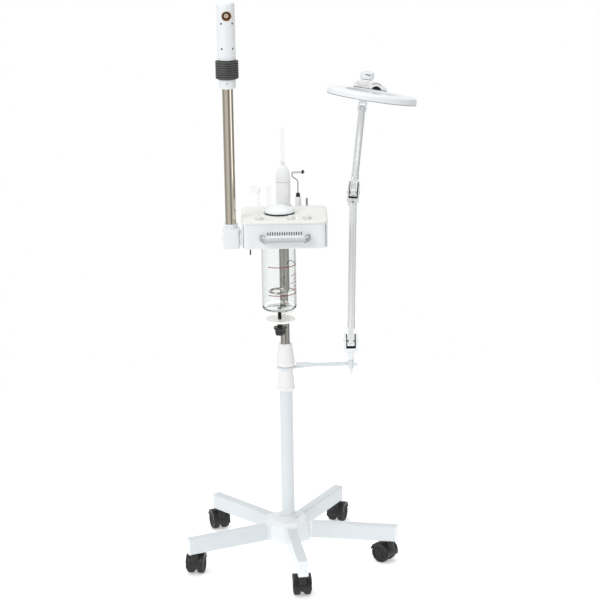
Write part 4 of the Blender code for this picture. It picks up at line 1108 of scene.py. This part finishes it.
# ---------------------------------------------------------------- accessories
def rack_row():
    """Centre line of each accessory in X, by node."""
    row = {node: axis_of(node)[0] for node in ("hf_handpiece", "tube_electrode", "steel_rod")}
    row["mushroom_electrode"] = node_box("mushroom_electrode")[0].x + 19
    row["galvanic_handle"] = node_box("galvanic_handle")[1].x - 17.5
    return row


ROW = rack_row()
ROW_Y, SOCKET_Z = axis_of("hf_handpiece")[1:3]
SOCKET_RADII = {"hf_handpiece": 18.6, "mushroom_electrode": 3.6, "tube_electrode": 4.4,
                "galvanic_handle": 8.1, "steel_rod": 3}


def make_rack():
    centre, half = plan_of("accessory_rack")
    bottom, top = node_box("accessory_rack")[0].z, 905
    bm = bmesh.new()
    sections = [(3, bottom), (0.8, bottom + 0.6), (0, bottom + 3), (0, top - 3)]
    sections += [(0.8, top - 0.8), (3, top)]
    lofted(bm, centre, half, 8, sections)
    rack = piece("rack_block", bm, "mast", "cream_plastic", [CREAM], "accessory_rack")
    cutter = bmesh.new()
    for node, radius in SOCKET_RADII.items():
        peg(cutter, radius, SOCKET_Z - 0.1, top + 45, pose=shift(ROW[node], ROW_Y), steps=48)
    pierce(rack, cutter)
    bm = bmesh.new()
    for node, radius in SOCKET_RADII.items():
        rim_z = top + (8.5 if node == "hf_handpiece" else 1.2)
        rim = [(radius, top - 1), (radius, rim_z), (radius + 2.2, rim_z), (radius + 2.4, top - 1)]
        turned(bm, soften(rim, 0.6), shift(ROW[node], ROW_Y))
    piece("rack_rings", bm, "mast", "cream_plastic", [CREAM])


def make_handpiece():
    here = shift(ROW["hf_handpiece"], ROW_Y)
    bm = bmesh.new()
    profile = [(0, 1022.5), (4, 1022.5), (4.7, 1021.8), (5, 1018), (4.2, 1015)]
    profile += [(5.2, 1012.8), (8.5, 1010.8), (12, 1006.4), (14.8, 1000), (16.8, 993)]
    profile += [(17.9, 985), (18.2, 975), (18.1, 960), (17.6, 940), (17, 915)]
    profile += [(16.8, SOCKET_Z), (0, SOCKET_Z)]
    turned(bm, profile, here, steps=72)
    sleeve(bm, 17.8, 18.3, 973.6, 974.2, pose=here, steps=72, material=1)
    for k in range(7):
        level = 935.5 + 4 * k
        ridge = [(17.8, level - 1), (18.1, level), (17.8, level + 1)]
        turned(bm, soften(ridge, 0.3), here, steps=72)
    piece("wand_handset", bm, "hf_wand", "handset_plastic", [HANDSET, MARK], "hf_handpiece", angle=50)
    bm = bmesh.new()
    glass = [(0, 1109), (2, 1108.6), (3.6, 1107.2), (4.5, 1104.5), (4.6, 1033)]
    glass += [(4, 1029), (3.8, 1027), (4.6, 1025.5), (4.6, 1022.9), (0, 1022.9)]
    turned(bm, glass, here, steps=40)
    piece("wand_electrode", bm, "hf_wand", "electrode_glass", [ELECTRODE], "hf_electrode", angle=50)


def make_electrodes():
    x = ROW["mushroom_electrode"]
    bm = bmesh.new()
    stem = [(0, 954), (2.6, 953), (3.1, 950), (3, 910), (3.2, SOCKET_Z), (0, SOCKET_Z)]
    turned(bm, stem, shift(x, ROW_Y), steps=32)
    disc = [(0, 4.2), (5, 4.1), (8.5, 3.7), (10.8, 2.6), (11.9, 1)]
    disc += [(radius, -height) for radius, height in reversed(disc)]
    turned(bm, disc, pointing((x - 7, ROW_Y, 954.5), (0, -1, 0)), steps=48)
    piece("disc_electrode", bm, "mushroom_electrode", "electrode_glass", [ELECTRODE], "mushroom_electrode",
          angle=50)

    bm = bmesh.new()
    flute = [(0, 962.5), (3, 962.2), (4.6, 961), (5.3, 958.5), (5, 950)]
    flute += [(4.2, 938), (3.8, 925), (4, SOCKET_Z), (0, SOCKET_Z)]
    turned(bm, flute, shift(ROW["tube_electrode"], ROW_Y), steps=32)
    piece("fluted_electrode", bm, "tube_electrode", "electrode_glass", [ELECTRODE], "tube_electrode",
          angle=50)


def make_galvanic_handle():
    x, y = ROW["galvanic_handle"], ROW_Y
    here = shift(x, y)
    bm = bmesh.new()
    grip = [(0, 934.4), (6.6, 934.4), (7.6, 933), (7.7, 910), (7.7, SOCKET_Z), (0, SOCKET_Z)]
    turned(bm, soften(grip, 0.8), here, steps=48)
    nose = [(0, 944.6), (3, 944.6), (4.6, 943), (5.5, 937), (5.6, 934.4), (0, 934.4)]
    turned(bm, soften(nose, 0.6), here, steps=40, material=1)
    roller_z, shaft_x = joint_point("galvanic_roller_spin").z, x - 13.5
    route = [(x, y, 940), (x, y, 958), (x, y, 971.5), (x - 1.8, y, 976.8), (x - 6.5, y, 980)]
    route += [(x - 11.2, y, 983.2), (shaft_x - 0.4, y, 987.2), (shaft_x - 0.2, y, 992.5)]
    route += [(shaft_x + 1, y, 996), (shaft_x + 4, y, roller_z), (shaft_x + 31, y, roller_z)]
    tube(bm, curve_through(route, 5), 1.3, sides=14, material=2)
    piece("roller_handset", bm, "galvanic_handle", "handset_plastic", [HANDSET, BLACK, BLACK_CHROME],
          "galvanic_handle")

    bm = bmesh.new()
    start, end = shaft_x + 4.5, shaft_x + 29
    roll = pointing((0, y, roller_z), (1, 0, 0))
    bore, tip = 1.7, 6
    sleeve(bm, bore, 4.5, start, end - tip - 0.2, 0.6, roll, 48)
    for k in range(9):
        a = start + 2 + k * 1.8
        turned(bm, [(4.4, a + 0.4), (4.7, a), (4.4, a - 0.4)], roll, steps=48)
    sleeve(bm, bore, 4.6, end - tip, end, 0.5, roll, 48, material=1)
    piece("chrome_roller", bm, "galvanic_roller", "dark_chrome", [BRIGHT_CHROME, BLACK], "galvanic_roller")


def make_steel_rod():
    bm = bmesh.new()
    grooves = [(0, 930.8), (1.8, 930.6), (2.6, 929.6)]
    level, pitch = 928, 2.4
    while level > 906:
        grooves += [(2.6, level), (2.2, level - pitch / 4), (2.6, level - pitch / 2)]
        level -= pitch
    turned(bm, grooves + [(2.6, SOCKET_Z), (0, SOCKET_Z)], shift(ROW["steel_rod"], ROW_Y), steps=32)
    piece("metal_rod", bm, "steel_rod", "chrome", [BLACK_CHROME], "steel_rod", angle=50)


# ---------------------------------------------------------------- studio
def make_stage():
    """A round pale floor, glowing a little so that it is nearly as white as the world around it."""
    bm = bmesh.new()
    extruded(bm, arc(1700, 0, 360, 128)[:-1], -20, -0.1)
    floor = placed("studio_floor", bm)
    floor.data.materials.append(surface("pale_floor", (0.93, 0.93, 0.93), 0.85, mottle=0.004, patch=0.6,
                                        relief=0.02, glow=0.42))


def area_light(name, location, target, size, power):
    data = bpy.data.lights.new(name, "AREA")
    data.shape = "RECTANGLE"
    data.size, data.size_y = size
    data.energy = power
    light = bpy.data.objects.new(name, data)
    light.location = location
    light.rotation_euler = (Vector(target) - Vector(location)).to_track_quat("-Z", "Y").to_euler()
    bpy.context.scene.collection.objects.link(light)


def make_lights():
    middle = (0.0, 0.0, 0.75)
    area_light("key", (-2.6, -2.4, 2.9), middle, (1.6, 2.2), 56.0)
    area_light("fill", (3.0, -1.6, 1.4), middle, (1.4, 2.4), 14.0)
    area_light("top", (0.2, 0.3, 3.4), middle, (2.4, 2.4), 29.5)


def make_world():
    """The walls of a pale room for what the object reflects, and plain white where they're seen directly."""
    scene = bpy.context.scene
    world = bpy.data.worlds.new("studio")
    scene.world = world
    world.use_nodes = True
    nodes, links = world.node_tree.nodes, world.node_tree.links
    nodes.clear()

    def calculated(operation, first, second):
        """A maths node on two sockets, or on a socket and a number; returns its result."""
        node = nodes.new("ShaderNodeMath")
        node.operation = operation
        links.new(first, node.inputs[0])
        if isinstance(second, float):
            node.inputs[1].default_value = second
        else:
            links.new(second, node.inputs[1])
        return node.outputs["Value"]

    # the walls' brightness over one turn
    where = nodes.new("ShaderNodeTexCoord")
    split = nodes.new("ShaderNodeSeparateXYZ")
    links.new(where.outputs["Generated"], split.inputs["Vector"])
    span = nodes.new("ShaderNodeMapRange")
    span.inputs["From Min"].default_value = -math.pi
    span.inputs["From Max"].default_value = math.pi
    links.new(calculated("ARCTAN2", split.outputs["Y"], split.outputs["X"]), span.inputs["Value"])
    ramp = nodes.new("ShaderNodeValToRGB")
    links.new(span.outputs["Result"], ramp.inputs["Fac"])
    stops = ramp.color_ramp.elements
    walls = ((0.0, 0.62), (0.06, 0.98), (0.13, 1.22), (0.2, 1.26), (0.25, 0.82), (0.295, 0.4), (0.325, 0.42),
             (0.36, 1.12), (0.44, 1.02), (0.51, 0.62), (0.57, 0.42), (0.625, 0.36), (0.68, 0.95), (0.75, 1.3),
             (0.88, 0.98), (1.0, 0.62))
    for position, value in walls[1:-1]:
        stops.new(position).color = (value, value, value, 1.0)
    for stop, (_, value) in ((stops[0], walls[0]), (stops[-1], walls[-1])):
        stop.color = (value, value, value, 1.0)
    around = nodes.new("ShaderNodeBackground")
    around.inputs["Strength"].default_value = 0.66
    links.new(ramp.outputs["Color"], around.inputs["Color"])

    # plain white where the surroundings are seen directly, or through glass with no reflection on the way
    plain = nodes.new("ShaderNodeBackground")
    plain.inputs["Color"].default_value = (1.0, 1.0, 1.0, 1.0)
    path = nodes.new("ShaderNodeLightPath")
    unreflected = calculated("LESS_THAN", path.outputs["Glossy Depth"], 0.5)
    through = calculated("MULTIPLY", path.outputs["Is Transmission Ray"], unreflected)
    mix = nodes.new("ShaderNodeMixShader")
    links.new(calculated("MAXIMUM", path.outputs["Is Camera Ray"], through), mix.inputs["Fac"])
    links.new(around.outputs["Background"], mix.inputs[1])
    links.new(plain.outputs["Background"], mix.inputs[2])
    output = nodes.new("ShaderNodeOutputWorld")
    links.new(mix.outputs["Shader"], output.inputs["Surface"])

    scene.view_settings.view_transform = "Standard"
    scene.view_settings.look = "None"


def make_camera():
    """Stands 4.8 m in front of the column and 2 m up, and looks down at it through a long lens."""
    pitch, yaw, roll = math.radians(15.332), math.radians(0.461), math.radians(-0.9)
    forward = Vector((math.sin(yaw) * math.cos(pitch), math.cos(yaw) * math.cos(pitch), -math.sin(pitch)))
    right = Vector((math.cos(yaw), -math.sin(yaw), 0.0))
    up = right.cross(forward)
    rolled_right = right * math.cos(roll) + up * math.sin(roll)
    rolled_up = up * math.cos(roll) - right * math.sin(roll)
    data = bpy.data.cameras.new("camera")
    data.sensor_width = 36.0
    data.lens = 120.0
    data.clip_end = 60.0
    camera = bpy.data.objects.new("camera", data)
    turn = Matrix((rolled_right, rolled_up, -forward)).transposed().to_4x4()
    camera.matrix_world = Matrix.Translation(FOOT + Vector((0.0, -4.8, 2.0))) @ turn
    bpy.context.scene.collection.objects.link(camera)
    bpy.context.scene.camera = camera


make_camera()
make_lights()
make_world()
make_stage()
make_base()
make_cones()
make_casters()
make_mast()
make_lamp_bracket()
make_lamp_arms()
make_wrist()
make_lamp_dish()
make_head_casting()
make_steam_arm()
make_steam_head()
make_box_shell()
make_lid()
make_lid_details()
make_controls()
make_handle()
make_cap()
make_jar()
make_heater()
repaint(STEEL, "boiler")
repaint(BOARD, "control_board")
make_jar_clamp()
make_underside()
make_rack()
make_handpiece()
make_electrodes()
make_galvanic_handle()
make_steel_rod()
